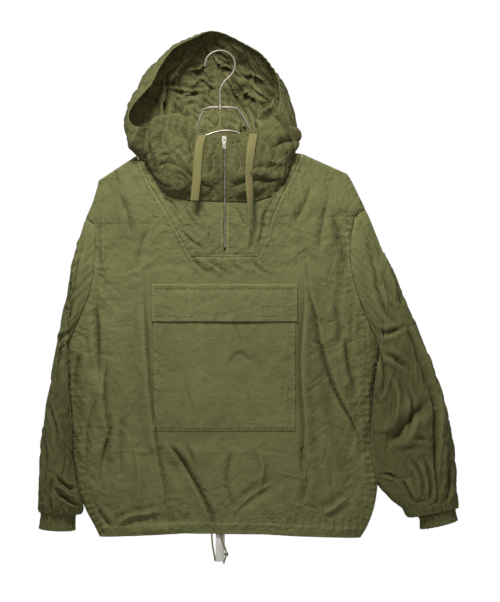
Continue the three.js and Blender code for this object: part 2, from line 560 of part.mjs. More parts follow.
function hoodPoint(turn, share) {
  const loops = hoodLoops.map((loop) => new THREE.Vector3(
    smooth(loop, 'turn', turn, 'x'), smooth(loop, 'turn', turn, 'y'), smooth(loop, 'turn', turn, 'z'),
  ));
  loops.push(necklinePoint(turn));
  const curve = new THREE.CatmullRomCurve3(loops, false, 'centripetal');
  const point = curve.getPoint(share);
  const behind = clamp((turn - backPleats.from) / backPleats.fade, 0, 1)
    * clamp((backPleats.to - turn) / backPleats.fade, 0, 1);
  const pleat = Math.sin(turn * backPleats.count * 2 * Math.PI) * Math.sin(Math.PI * share);
  point.y += backPleats.depth * pleat * behind;
  return point;
}
for (const [edge, from, to] of [['left', 0, 0.4998], ['right', 0.5002, 1]]) {
  const grid = [];
  for (let i = 0; i <= hoodRings; i += 1) {
    const row = [];
    for (let j = 0; j <= hoodSteps; j += 1) row.push(hoodPoint(mix(from, to, j / hoodSteps), i / hoodRings));
    grid.push(row);
  }
  const inward = (i, j, way) => {
    if (i < hoodRings) return way;
    const turn = mix(from, to, j / hoodSteps);
    return new THREE.Vector3(0, turn > shoulderTurn && turn < 1 - shoulderTurn ? -1 : 1, 0);
  };
  add(`hood_${edge}`, wall(grid, { inward }), cotton());
}

// Zip: tape behind the slit, a strip for the closed teeth, slider and pull tab.
const zipSteps = 16;
const teethHalf = 3.05;
const teethTop = zipTop - 8;
const tapeHalf = 6;
const tapeBack = 3.2;  // the tape's face behind the cloth's outer face
const frontLine = [  // outer face of the cloth along the centre front
  { z: -372, y: -39.4 }, { z: -350, y: -38.7 }, { z: -310, y: -37.4 }, { z: -290, y: -36.1 }, { z: -274, y: -35.3 },
  { z: -272.5, y: -36.5 }, { z: -255, y: -43.9 }, { z: -236, y: -50 }, { z: -221, y: -52.3 }, { z: -200, y: -53.3 },
  { z: -184, y: -52.3 }, { z: -168, y: -48.7 }, { z: -157, y: -46 },
];
function zipStrip(half, bottom, top, back, thickness) {
  const grid = [];
  for (let i = 0; i <= zipSteps; i += 1) {
    const z = mix(bottom, top, i / zipSteps);
    const y = straight(frontLine, 'z', z, 'y') + back;
    grid.push([new THREE.Vector3(zipX - half, y, z), new THREE.Vector3(zipX + half, y, z)]);
  }
  return wall(grid, { flip: true, thickness, inward: () => new THREE.Vector3(0, 1, 0) });
}
add('zip_teeth', zipStrip(teethHalf, zipBottom + 3, teethTop, 0, 1.4), paint(0x8a8676, 0.4, 0.9));
add('zip_tape', zipStrip(tapeHalf, zipBottom, zipTop - 2, tapeBack, 0.8), paint(0x4d4b2c, 0.9, 0));

// Slider: plate with an arched bridge, and the pull tab whose top bar turns inside the bridge.
const pivot = { x: zipX - 0.8, y: -52.5, z: -163 };
const sliderPlate = { width: 8, height: 10, thick: 2.2 };
const bridge = { inner: 2, outer: 3.2, width: 1.6 };
const tab = { width: 6, length: 18, thick: 1.2, bar: 1.3, hole: 3.6, reach: 3.4, eye: 1.5, eyeAt: 14.5 };
function plate(outline, depth) {
  return new THREE.ExtrudeGeometry(outline, { depth, bevelEnabled: false, curveSegments: 6 });
}
function sliderGeometry() {
  // Outline in the plane across the zip: plate and half ring in one, drawn as (out, up).
  const shape = new THREE.Shape();
  const half = sliderPlate.height / 2;
  shape.moveTo(0, -half);
  shape.lineTo(sliderPlate.thick, -half);
  shape.lineTo(sliderPlate.thick, -bridge.outer);
  shape.absarc(sliderPlate.thick, 0, bridge.outer, -Math.PI / 2, Math.PI / 2, false);
  shape.lineTo(sliderPlate.thick, half);
  shape.lineTo(0, half);
  const gap = new THREE.Path();
  gap.absarc(sliderPlate.thick + 0.02, 0, bridge.inner, -Math.PI / 2, Math.PI / 2, false);
  gap.closePath();
  shape.holes.push(gap);
  return plate(shape, bridge.width);
}
const sliderBody = sliderGeometry();
sliderBody.translate(0, 0, -bridge.width / 2);
sliderBody.applyMatrix4(new THREE.Matrix4().makeBasis(
  new THREE.Vector3(0, -1, 0), new THREE.Vector3(0, 0, 1), new THREE.Vector3(-1, 0, 0),
));
sliderBody.translate(pivot.x, pivot.y + sliderPlate.thick, pivot.z);
const sliderBase = new THREE.BoxGeometry(sliderPlate.width, sliderPlate.thick, sliderPlate.height);
sliderBase.translate(pivot.x, pivot.y + sliderPlate.thick / 2, pivot.z);

const wasm = await Module();
wasm.setup();
function solid(geometry) {
  const bare = geometry.clone();
  for (const name of Object.keys(bare.attributes)) if (name !== 'position') bare.deleteAttribute(name);
  const merged = mergeVertices(bare, 1e-4);
  return new wasm.Manifold(new wasm.Mesh({
    numProp: 3,
    vertProperties: Float32Array.from(merged.attributes.position.array),
    triVerts: Uint32Array.from(merged.index.array),
  }));
}
function fromSolid(body) {
  const mesh = body.getMesh();
  const geometry = new THREE.BufferGeometry();
  geometry.setAttribute('position', new THREE.Float32BufferAttribute(mesh.vertProperties, mesh.numProp));
  geometry.setIndex(Array.from(mesh.triVerts));
  return geometry;
}
add('zip_slider', fromSolid(solid(sliderBase).add(solid(sliderBody))), steel());

const tabShape = new THREE.Shape();
const tabTop = tab.bar / 2;
tabShape.moveTo(-tab.width / 2, tabTop);
tabShape.lineTo(-tab.width / 2, tabTop - tab.length + tab.width / 2);
tabShape.absarc(0, tabTop - tab.length + tab.width / 2, tab.width / 2, Math.PI, 2 * Math.PI, false);
tabShape.lineTo(tab.width / 2, tabTop);
const tabHole = new THREE.Path();
tabHole.moveTo(-tab.hole / 2, -tabTop);
tabHole.lineTo(-tab.hole / 2, -tabTop - tab.reach);
tabHole.lineTo(tab.hole / 2, -tabTop - tab.reach);
tabHole.lineTo(tab.hole / 2, -tabTop);
tabShape.holes.push(tabHole);
const tabEye = new THREE.Path();
tabEye.absarc(0, tabTop - tab.eyeAt, tab.eye, 0, 2 * Math.PI, false);
tabShape.holes.push(tabEye);
const tabBody = plate(tabShape, tab.thick);
tabBody.translate(0, 0, -tab.thick / 2);
tabBody.rotateX(Math.PI / 2);
tabBody.translate(pivot.x, pivot.y - 1.1, pivot.z);
add('zip_pull', tabBody, steel());

// Hanger: hook, ferrule and a wire frame of two arms and an arched lower bar.
function wire(points, radius, steps, sides = 8) {
  const curve = new THREE.CatmullRomCurve3(points.map((p) => new THREE.Vector3(...p)), false, 'centripetal');
  const section = new THREE.Shape();
  for (let n = 0; n < sides; n += 1) {
    const angle = (n / sides) * 2 * Math.PI;
    const place = [radius * Math.cos(angle), radius * Math.sin(angle)];
    if (n === 0) section.moveTo(...place);
    else section.lineTo(...place);
  }
  return new THREE.ExtrudeGeometry(section, { steps, extrudePath: curve, bevelEnabled: false });
}
const hookRoute = [
  [-28, 0, -27], [-25, 0, -13], [-15, 0, -2.5], [0, 0, wireRadius], [15, 0, -2.5], [25, 0, -14], [26.5, 0, -29],
  [20, 0, -42], [8, 0, -54], [0.5, 0, -67], [-0.5, 0, -81], [0, 0, -96.4],
];
add('hanger_hook', wire(hookRoute, wireRadius, 40), steel());
const ferrule = { radius: 3.2, top: -96.7, bottom: -104.5 };
const ferruleBody = new THREE.CylinderGeometry(ferrule.radius, ferrule.radius, ferrule.top - ferrule.bottom, 16);
ferruleBody.rotateX(Math.PI / 2);
ferruleBody.translate(0, 0, (ferrule.top + ferrule.bottom) / 2);
add('hanger_ferrule', ferruleBody, steel());
const frameStart = ferrule.radius + seamGap;
const frameRoute = [
  [-frameStart, 0, -101], [-16, 0, -101], [-28, 0, -102.5], [-34, 0, -112], [-44, 0, -140], [-55, 0, -158],
  [-90, 0, -176], [-127, 0, -192], [-151, 0, -199], [-186, 0, -216], [-205, 0, -229], [-209, 0, -236],
  [-203, 0, -241], [-180, 0, -231], [-120, 0, -201], [-60, 0, -171], [-18, 0, -149], [13, 0, -143], [50, 0, -154],
  [90, 0, -182], [130, 0, -204], [186, 0, -226], [208, 0, -234], [215, 0, -230], [211, 0, -223], [187, 0, -210],
  [149, 0, -197], [127, 0, -191], [112, 0, -186], [72, 0, -160], [56, 0, -143], [40, 0, -114], [31, 0, -103],
  [18, 0, -101], [frameStart, 0, -101],
];
add('hanger_frame', wire(frameRoute, wireRadius, 72), steel());

// Drawstring tapes, cord ends at the hem and the small blank sewn label: flat strips and a round cord.
function strip(points, width, thickness) {
  const grid = points.map(([x, y, z, turn]) => {
    const side = new THREE.Vector3(Math.cos(turn), Math.sin(turn), 0).multiplyScalar(width / 2);
    const middle = new THREE.Vector3(x, y, z);
    return [middle.clone().sub(side), middle.clone().add(side)];
  });
  return wall(grid.reverse(), { flip: true, thickness });
}
const tapeWidth = 16;
const leftTape = [
  [-31.5, -51.2, -157, 0], [-33, -53.3, -163, 0], [-35, -55.7, -171, 0], [-37, -57.9, -181, 0],
  [-38, -60, -193, 0], [-39, -61.1, -207, 0], [-40, -61.5, -223, 0], [-41, -61.5, -240, 0.05],
  [-43, -61.3, -257, 0.12], [-45, -61, -274, 0.2],
];
const rightTape = [
  [60, -48.9, -154, 0], [59.5, -50.8, -160, 0], [58, -53.5, -168, 0], [56, -56.9, -180, 0.1],
  [54, -60.2, -198, 0.3], [52.5, -61.8, -216, 0.5], [52, -62.2, -236, 0.6], [53, -62, -254, 0.6],
  [54, -61.4, -272, 0.75], [55, -60.4, -290, 0.95], [56, -59, -308, 1.1],
];
add('drawstring_left', strip(leftTape, tapeWidth, cloth), paint(0x7b7342, 0.85, 0));
add('drawstring_right', strip(rightTape, tapeWidth, cloth), paint(0x7b7342, 0.85, 0));
const cordRadius = 1.6;
const hemCordKnotted = [
  [1, -50.3, -867.4], [3, -50.4, -873], [5, -50.5, -880], [7.5, -50.5, -887], [10, -50.5, -894], [12, -50.5, -899.4],
];
const hemCordTail = [[11.5, -50.5, -907.1], [9.5, -50.5, -911], [8, -50.5, -916], [7, -50.5, -920]];
const hemCordPlain = [
  [-14, -48.8, -867.2], [-14, -49.6, -873], [-13.5, -50.5, -881], [-12.5, -50.5, -889], [-11, -50.5, -898],
  [-9.5, -50.5, -906], [-8, -50.5, -915],
];
const cordMaterial = () => paint(0x8a8252, 0.85, 0);
add('hem_cord_right', wire(hemCordKnotted, cordRadius, 16), cordMaterial());
const knot = new THREE.SphereGeometry(3.4, 12, 8);
knot.scale(1, 0.85, 1.05);
knot.translate(12, -50.5, -903.3);
add('hem_cord_knot', knot, cordMaterial());
add('hem_cord_tail', wire(hemCordTail, cordRadius, 10), cordMaterial());
add('hem_cord_left', wire(hemCordPlain, cordRadius, 18), cordMaterial());
const labelPoints = [
  [1, -47, -860, 0], [1, -47, -870, 0], [1, -46.8, -880, 0.02], [0.8, -46.5, -892, 0.05],
  [0.5, -46.4, -904, 0.1], [0, -45.6, -917, 0.15],
];
add('care_label', strip(labelPoints, 16, 0.4), paint(0xe8e6e0, 0.8, 0));

export default garment;
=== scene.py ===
# Anorak smock in garment-dyed cotton, hanging on a steel wire hanger.
# Lengths are in millimetres until a mesh is made; the meshes are in metres.
import bmesh
import bpy
import math
import numpy as np
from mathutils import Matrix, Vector
from mathutils.bvhtree import BVHTree


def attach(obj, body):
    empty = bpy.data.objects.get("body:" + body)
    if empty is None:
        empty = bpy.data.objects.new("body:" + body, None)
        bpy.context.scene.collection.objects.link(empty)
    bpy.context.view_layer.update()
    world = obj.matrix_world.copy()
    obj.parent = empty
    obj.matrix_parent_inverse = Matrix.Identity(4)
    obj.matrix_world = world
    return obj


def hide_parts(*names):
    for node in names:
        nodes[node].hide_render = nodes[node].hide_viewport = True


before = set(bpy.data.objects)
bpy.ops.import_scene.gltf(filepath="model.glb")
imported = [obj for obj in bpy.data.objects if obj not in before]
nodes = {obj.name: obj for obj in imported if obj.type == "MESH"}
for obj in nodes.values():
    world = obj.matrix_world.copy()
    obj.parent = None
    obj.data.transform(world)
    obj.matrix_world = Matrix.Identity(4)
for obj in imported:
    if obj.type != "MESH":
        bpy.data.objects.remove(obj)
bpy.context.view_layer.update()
mm = 0.001            # a millimetre in metres
clothThick = 1.2      # wall of the cloth
edgeHalf = 1.4        # outer face of a closed edge from the plane between front and back
zipX = 9.0            # middle of the zip
slitHalf = 2.4        # half the gap in the bib that shows the teeth
print("frame loaded")


# Tables and splines
def straight(keys, values, at):
    return np.interp(at, keys, values)


def smooth(keys, values, at):
    keys = np.asarray(keys, float)
    values = np.asarray(values, float)
    at = np.clip(np.asarray(at, float), keys[0], keys[-1])
    i = np.clip(np.searchsorted(keys, at, side="right") - 1, 0, len(keys) - 2)
    before = np.maximum(i - 1, 0)
    after = np.minimum(i + 2, len(keys) - 1)
    h = keys[i + 1] - keys[i]
    t = (at - keys[i]) / h
    if values.ndim > 1:
        shape = (-1,) + (1,) * (values.ndim - 1)
        t, h = t.reshape(shape), h.reshape(shape)
        wide = lambda a, b: (keys[a] - keys[b]).reshape(shape)
    else:
        wide = lambda a, b: keys[a] - keys[b]
    slopeIn = (values[i + 1] - values[before]) / wide(i + 1, before)
    slopeOut = (values[after] - values[i]) / wide(after, i)
    t2, t3 = t * t, t * t * t
    return ((2 * t3 - 3 * t2 + 1) * values[i] + (t3 - 2 * t2 + t) * h * slopeIn
            + (3 * t2 - 2 * t3) * values[i + 1] + (t3 - t2) * h * slopeOut)


def nearest(x, z, line):
    # Distance to a line of points, the place along it, and the side (positive on its left).
    pts = np.asarray(line, float)
    best = np.full(np.shape(x), 1e9)
    along = np.zeros(np.shape(x))
    side = np.ones(np.shape(x))
    run = 0.0
    for a, b in zip(pts[:-1], pts[1:]):
        d = b - a
        length = max(np.hypot(*d), 1e-6)
        t = np.clip(((x - a[0]) * d[0] + (z - a[1]) * d[1]) / length ** 2, 0, 1)
        dx, dz = x - (a[0] + t * d[0]), z - (a[1] + t * d[1])
        gap = np.hypot(dx, dz)
        closer = gap < best
        best = np.where(closer, gap, best)
        along = np.where(closer, run + t * length, along)
        side = np.where(closer, np.sign(d[0] * dz - d[1] * dx), side)
        run += length
    return best, along, side, run


def splined(line, steps=24):
    pts = np.asarray(line, float)
    keys = np.arange(len(pts))
    at = np.linspace(0, len(pts) - 1, steps)
    return smooth(keys, pts, at)


# Creases: a valley or ridge has a soft round section, a step has one sharp side like cloth folded over.
# A row is its kind, its width (a negative one turns the step over), its depth and the stops of its line.
def creaseHeight(x, z, creases):
    height = np.zeros(np.shape(x))
    for kind, width, deep, stops in creases:
        line = splined(stops, 4 * len(stops))
        reach = abs(width) * 4
        low, high = line.min(0) - reach, line.max(0) + reach
        near = (x > low[0]) & (x < high[0]) & (z > low[1]) & (z < high[1])
        if not near.any():
            continue
        gap, along, side, run = nearest(x[near], z[near], line)
        ends = np.clip(np.minimum(along, run - along) / (0.3 * run), 0, 1)
        ends = ends * ends * (3 - 2 * ends)
        ends = np.maximum(ends, 0.12 * (gap < 1e9))
        wide = 0.62 * abs(width)
        across = gap * side * np.sign(width)
        if kind == "step":
            blend = 0.5 + 0.5 * np.tanh(across / (0.2 * wide))
            low = -np.exp(-(across / (1.2 * wide)) ** 2)
            high = 0.8 * np.exp(-((across - 0.7 * wide) / (2.4 * wide)) ** 2)
            shape = low * (1 - blend) + high * blend
        else:
            shape = 0.4 * np.exp(-((gap - 1.9 * wide) / (1.3 * wide)) ** 2)
            shape = shape - 0.3 * np.exp(-(gap / wide) ** 2) - 0.9 * np.exp(-gap / (0.5 * wide))
            if kind == "ridge":
                shape = -shape
        height[near] += deep * shape * ends
    return height


# Fine crumple: many short soft creases with a seeded spread of places, lengths and turns.
def crumple(x, z, recipe, seed):
    draw = np.random.default_rng(seed)
    height = np.zeros(np.shape(x))
    for _ in range(recipe["count"]):
        cx = draw.uniform(x.min(), x.max())
        cz = draw.uniform(z.min(), z.max())
        turn = draw.normal(recipe["turn"], recipe["spread"])
        length = draw.uniform(*recipe["length"])
        wide = draw.uniform(*recipe["wide"])
        deep = draw.uniform(*recipe["deep"]) * draw.choice([-1, 1], p=[0.6, 0.4])
        bend = draw.uniform(-0.25, 0.25) / length
        near = (np.abs(x - cx) < length) & (np.abs(z - cz) < length)
        if not near.any():
            continue
        dx, dz = x[near] - cx, z[near] - cz
        along = dx * math.sin(turn) + dz * math.cos(turn)
        across = dx * math.cos(turn) - dz * math.sin(turn) + bend * along ** 2
        fade = np.clip(1 - (along / (0.5 * length)) ** 2, 0, 1) ** 1.5
        profile = np.exp(-np.abs(across) / (0.6 * wide)) - 0.5 * np.exp(-((across - 1.6 * wide) / wide) ** 2)
        height[near] += deep * fade * profile
    return height


# Puckers: short ripples across a sewn line, strongest at the line.
def pucker(gap, along, deep, period, reach, seed):
    draw = np.random.default_rng(seed)
    phase = draw.uniform(0, 6.28)
    wander = 1.6 * np.sin(along / (period * 3.3) + phase) + 1.1 * np.sin(along / (period * 7.1) + 2 * phase)
    strength = 0.55 + 0.45 * np.sin(along / (period * 5.3) + phase * 3)
    return deep * strength * np.exp(-(gap / reach) ** 2) * np.sin(2 * math.pi * along / period + wander)


# Crushed cloth: flat facets that meet in sharp ridges and sharp valleys, long along the turn.
def facets(x, z, recipe, seed):
    draw = np.random.default_rng(seed)
    wide, long = recipe["size"]
    sway = draw.uniform(0, 6.28, 4)
    warpX = 0.35 * wide * np.sin(z / long * 1.7 + sway[0]) + 0.2 * wide * np.sin(z / long * 4.1 + sway[1])
    warpZ = 0.3 * long * np.sin(x / wide * 1.3 + sway[2]) + 0.15 * long * np.sin(x / wide * 3.7 + sway[3])
    cosine, sine = math.cos(recipe["turn"]), math.sin(recipe["turn"])
    px, pz = x + warpX, z + warpZ
    a, b = (px * cosine - pz * sine) / wide, (px * sine + pz * cosine) / long
    height = np.zeros(np.shape(x))
    for way in (1, -1):
        count = int((a.max() - a.min() + 1) * (b.max() - b.min() + 1))
        best = np.full(np.shape(x), 1e9)
        for _ in range(count):
            ca, cb = draw.uniform(a.min() - 0.5, a.max() + 0.5), draw.uniform(b.min() - 0.5, b.max() + 0.5)
            best = np.minimum(best, (a - ca) ** 2 + (b - cb) ** 2)
        height += way * (np.sqrt(best + 0.12) - 0.6)
    return recipe["deep"] * height


# A felled seam: a raised band beside the seam with the short ripples of its two rows of stitches.
def seamBand(gap, along, wide, out, seed):
    draw = np.random.default_rng(seed)
    plateau = smoothstep(gap / 1.2) * (1 - smoothstep((gap - wide) / 1.6))
    phase = draw.uniform(0, 6.28)
    strength = 0.5 + 0.5 * np.sin(along / 41 + phase) * np.sin(along / 17)
    ripple = 0.5 * np.sin(along / 1.15 + 1.7 * np.sin(along / 9 + phase)) * strength
    return plateau * (out + ripple)


def smoothstep(v):
    v = np.clip(v, 0, 1)
    return v * v * (3 - 2 * v)


def linked(name, data):
    thing = bpy.data.objects.new(name, data)
    bpy.context.scene.collection.objects.link(thing)
    return thing


def normalsOf(points, wrap=False):
    if wrap:
        across = np.roll(points, -1, 1) - np.roll(points, 1, 1)
    else:
        across = np.gradient(points, axis=1)
    up = np.gradient(points, axis=0)
    normal = np.cross(up, across)
    return normal / np.maximum(np.linalg.norm(normal, axis=2, keepdims=True), 1e-9)


# Mesh from a grid of points in millimetres. keep marks the cells that are cloth.
def gridPiece(name, points, uv, keep=None, wrap=False, flip=False, marks=None):
    rows, columns = points.shape[:2]
    number = np.arange(rows * columns).reshape(rows, columns)
    if wrap:
        number = np.concatenate([number, number[:, :1]], 1)
    a, b = number[:-1, :-1], number[:-1, 1:]
    c, d = number[1:, 1:], number[1:, :-1]
    quads = np.stack([a, b, c, d] if not flip else [a, d, c, b], -1)
    corner = np.stack(np.meshgrid(np.arange(rows - 1), np.arange(number.shape[1] - 1), indexing="ij"), -1)
    if keep is not None:
        quads, corner = quads[keep], corner[keep]
    quads, corner = quads.reshape(-1, 4), corner.reshape(-1, 2)
    mesh = bpy.data.meshes.new(name)
    mesh.from_pydata((points.reshape(-1, 3) * mm).tolist(), [], quads.tolist())
    layer = mesh.uv_layers.new(name="cut")
    shift = [(0, 0), (0, 1), (1, 1), (1, 0)] if not flip else [(0, 0), (1, 0), (1, 1), (0, 1)]
    if wrap:
        uv = np.concatenate([uv, uv[:, :1] + [uv[:, 1:2, 0].max() - uv[:, :1, 0].min(), 0]], 1) \
            if uv.shape[1] == columns else uv
    loops = np.empty((len(quads), 4, 2))
    for n, (di, dj) in enumerate(shift):
        loops[:, n] = uv[corner[:, 0] + di, corner[:, 1] + dj]
    layer.data.foreach_set("uv", loops.reshape(-1) * mm)
    for mark, values in (marks or {}).items():
        attribute = mesh.attributes.new(mark, "FLOAT", "POINT")
        attribute.data.foreach_set("value", np.asarray(values, np.float32).reshape(-1))
    piece = linked(name, mesh)
    looseOut(mesh)
    mesh.polygons.foreach_set("use_smooth", [True] * len(mesh.polygons))
    mesh.update()
    return piece


def looseOut(mesh):
    work = bmesh.new()
    work.from_mesh(mesh)
    bmesh.ops.delete(work, geom=[v for v in work.verts if not v.link_faces], context="VERTS")
    work.to_mesh(mesh)
    work.free()


def thicken(piece, thick):
    wall = piece.modifiers.new("wall", "SOLIDIFY")
    wall.thickness = thick * mm
    wall.offset = -1
    wall.use_even_offset = False


# Cloth simulation: the sheet grows a little between its seams and buckles, as washed cotton does.
def buckle(piece, look):
    scene = bpy.context.scene
    pins = np.zeros(len(piece.data.vertices))
    piece.data.attributes["pins"].data.foreach_get("value", pins)
    pins = np.maximum(pins, look["form"])
    group = piece.vertex_groups.new(name="pins")
    for index, weight in enumerate(pins):
        group.add([index], float(weight), "REPLACE")
    cloth = piece.modifiers.new("cloth", "CLOTH")
    wanted = cloth.settings
    wanted.quality = look["quality"]
    wanted.mass = 0.1
    wanted.tension_stiffness = look["stiff"]
    wanted.compression_stiffness = look["stiff"]
    wanted.shear_stiffness = 0.5 * look["stiff"]
    wanted.bending_stiffness = look["bend"]
    wanted.vertex_group_mass = "pins"
    wanted.pin_stiffness = look["hold"]
    wanted.shrink_min = -look["grow"]
    wanted.effector_weights.gravity = look["gravity"]
    cloth.collision_settings.use_collision = False
    cloth.collision_settings.use_self_collision = False
    cloth.point_cache.frame_start = 1
    cloth.point_cache.frame_end = look["frames"]
    for frameAt in range(1, look["frames"] + 1):
        scene.frame_set(frameAt)
        bpy.context.view_layer.update()
    seen = piece.evaluated_get(bpy.context.evaluated_depsgraph_get())
    place = np.zeros(3 * len(piece.data.vertices))
    before = place.copy()
    seen.data.vertices.foreach_get("co", place)
    piece.data.vertices.foreach_get("co", before)
    print(piece.name, "buckled, largest move", round(np.abs(place - before).max() * 1000, 1), "mm, mean",
          round(np.abs(place - before).mean() * 1000, 2))
    piece.modifiers.clear()
    piece.vertex_groups.clear()
    piece.data.vertices.foreach_set("co", place)
    piece.data.update()
    scene.frame_set(1)
    return piece


# Marks the hollows and crests of the finished sheet by its bend against the cloth around it; the cloth's
# material paints shade into the hollows and makes the crests paler from this mark.
def markCrests(piece, reach, gain):
    mesh = piece.data
    count = len(mesh.vertices)
    place, normal = np.zeros(3 * count), np.zeros(3 * count)
    mesh.vertices.foreach_get("co", place)
    mesh.vertex_normals.foreach_get("vector", normal)
    place, normal = place.reshape(-1, 3) / mm, normal.reshape(-1, 3)
    ends = np.zeros(2 * len(mesh.edges), int)
    mesh.edges.foreach_get("vertices", ends)
    one, two = ends.reshape(-1, 2).T
    links = np.bincount(np.concatenate([one, two]), minlength=count)[:, None] + 1.0
    around = place.copy()
    for _ in range(reach):
        total = around.copy()
        for axis in range(3):
            total[:, axis] += (np.bincount(one, around[two, axis], count)
                               + np.bincount(two, around[one, axis], count))
        around = total / links
    bend = ((place - around) * normal).sum(1)
    crest = mesh.attributes.new("crest", "FLOAT", "POINT")
    crest.data.foreach_set("value", np.clip(0.5 + gain * bend, 0, 1))


def sheetArea(piece):
    return sum(p.area for p in piece.data.polygons)


# Body outline, hem first: ends of each row on the left edge, the two bib edges and the right edge,
# and the half depths of the front and the back.
outlineColumns = ("left", "bibLeft", "bibRight", "right", "front", "back")
bodyOutline = [dict(zip(outlineColumns, row)) for row in [
    ((-218, -878), (-62, -866), (78, -868), (254, -880), 50, 40),
    ((-228, -858), (-61, -846), (77, -848), (267, -858), 50, 40),
    ((-243, -830), (-60, -822), (76, -822), (278, -828), 50, 41),
    ((-255, -798), (-60, -794), (75, -794), (284, -795), 49, 41),
    ((-262, -762), (-59, -762), (75, -762), (285, -765), 48, 41),
    ((-267, -722), (-58, -722), (74, -722), (277, -725), 47, 40),
    ((-269, -682), (-57, -682), (73, -682), (274, -682), 46, 39),
    ((-271, -642), (-57, -642), (72, -642), (274, -640), 45, 38),
    ((-276, -605), (-56, -604), (71, -602), (277, -600), 44, 37),
    ((-283, -572), (-55, -569), (71, -566), (285, -560), 43, 36),
    ((-293, -544), (-55, -537), (70, -532), (293, -524), 42, 35),
    ((-270, -515), (-54, -510), (70, -507), (276, -503), 42, 34),
    ((-252, -481), (-54, -480), (69, -479), (262, -478), 41, 33),
    ((-238, -450), (-53, -450), (69, -450), (251, -450), 40, 32),
    ((-229, -414), (-52, -414), (68, -414), (240, -414), 39, 31),
    ((-225, -376), (-52, -373), (68, -373), (234, -372), 38, 30),
    ((-225, -340), (-70, -340), (83, -340), (236, -335), 37, 29),
    ((-228, -313), (-86, -310), (93, -306), (243, -300), 36, 28),
    ((-243, -302), (-95, -294), (99, -290), (262, -284), 35, 28),
    ((-232, -276), (-111, -267), (111, -263), (251, -261), 33, 27),
    ((-224, -252), (-128, -239), (126, -235), (240, -239), 30, 25),
    ((-220, -234), (-151, -189), (149, -186), (230, -222), 24, 22),
]]
underarmRow, bibBottomRow, armholeTopRow, topRow = 10, 15, 18, 21
ridgeLine = [(-250, -262), (-220, -234), (-189, -208), (-151, -188), (-126, -178), (0, -120),
             (126, -176), (149, -185), (189, -201), (230, -221), (260, -240)]
bodyForm = {"ridgeReach": 70, "ridgePower": 0.6, "armholeGap": 24, "crown": 2.6, "crownPower": 0.75}

# Main folds, which the solids have too: a long soft trough's two ends, bow, half width and depth.
frontFolds = [
    ((-140, -374), (-92, -845), -14, 22, 7),
    ((-222, -455), (-215, -600), 6, 20, 7),
    ((-204, -552), (-222, -770), 12, 22, 6),
    ((-110, -690), (-14, -870), 8, 26, 12),
    ((150, -350), (178, -520), 6, 22, 7),
    ((178, -500), (266, -830), -16, 24, 10),
    ((218, -512), (245, -640), 5, 18, 6),
    ((-52, -376), (20, -424), 4, 20, 5),
    ((36, -372), (76, -420), 4, 18, 5),
    ((200, -290), (228, -420), 6, 20, 5),
    ((23, -832), (100, -774), 5, 24, 5),
    ((180, -836), (232, -800), -5, 24, 5),
    ((-44, -852), (-150, -858), 4, 16, -5),
    ((-180, -740), (-196, -640), 5, 24, -5),
]
backFolds = [
    ((-60, -250), (-96, -640), 12, 26, 8),
    ((70, -240), (120, -700), -14, 26, 9),
    ((-190, -420), (-170, -820), 14, 26, 9),
    ((190, -400), (205, -760), -10, 24, 8),
    ((0, -520), (22, -860), 12, 28, 9),
    ((-120, -700), (-96, -870), -6, 22, 8),
    ((120, -740), (110, -872), 6, 22, -6),
]
pocketBox = {"left": -119, "right": 136, "top": -440, "bottom": -685}
flapBox = {"left": -122, "right": 139, "top": -421, "bottom": -489}


def foldHeight(x, z, folds):
    total = np.zeros(np.shape(x))
    for start, end, bow, half, depth in folds:
        a, b = np.array(start, float), np.array(end, float)
        t = np.linspace(0, 1, 9)[:, None]
        d = b - a
        side = np.array([-d[1], d[0]]) / np.hypot(*d)
        line = a + d * t + side * bow * np.sin(np.pi * t)
        gap, along, _, run = nearest(x, z, line)
        across = np.where(gap < half, np.cos(gap / half * np.pi / 2) ** 2, 0)
        ends = np.sin(np.pi * np.clip(along / run, 0.06, 0.94)) ** 0.5
        total += depth * across * ends
    return total


def pocketCalm(x, z, margin=34):
    beside = np.maximum(np.maximum(flapBox["left"] - x, x - flapBox["right"]), 0)
    above = np.maximum(np.maximum(z - flapBox["top"], pocketBox["bottom"] - z), 0)
    return np.clip(np.hypot(beside, above) / margin - 0.75, 0, 1)


def edgeCurve(side):
    rows = np.array([row[side] for row in bodyOutline], float)
    order = np.argsort(rows[:, 1])
    return rows[order, 1], rows[order, 0]


def bodyDepth(x, z, side):
    leftX = straight(*edgeCurve("left"), z)
    rightX = straight(*edgeCurve("right"), z)
    middle = (leftX + rightX) / 2
    share = np.clip(np.abs(x - middle) / ((rightX - leftX) / 2), 0, 1)
    onLeft = x < middle
    top = np.where(onLeft, bodyOutline[armholeTopRow]["left"][1], bodyOutline[armholeTopRow]["right"][1])
    bottom = np.where(onLeft, bodyOutline[underarmRow]["left"][1], bodyOutline[underarmRow]["right"][1])
    place = np.clip((z - bottom) / (top - bottom), 0, 1)
    edge = bodyForm["armholeGap"] * np.abs(np.sin(np.pi * place)) ** 0.8
    crown = (1 - share ** bodyForm["crown"]) ** bodyForm["crownPower"]
    ridgeX, ridgeZ = zip(*ridgeLine)
    ridge = straight(ridgeX, ridgeZ, x)
    rise = np.clip((ridge - z) / bodyForm["ridgeReach"], 0, 1) ** bodyForm["ridgePower"]
    heights = [row["bibLeft"][1] for row in bodyOutline]
    full = smooth(heights, [row[side] for row in bodyOutline], np.ravel(z)).reshape(np.shape(z))
    calm = np.clip(crown * rise * 3, 0, 1)
    if side == "front":
        calm = calm * pocketCalm(x, z)
    folds = frontFolds if side == "front" else backFolds
    depth = (edge + (full - edge) * crown) * rise - foldHeight(x, z, folds) * calm
    return edgeHalf + np.maximum(depth, 0)


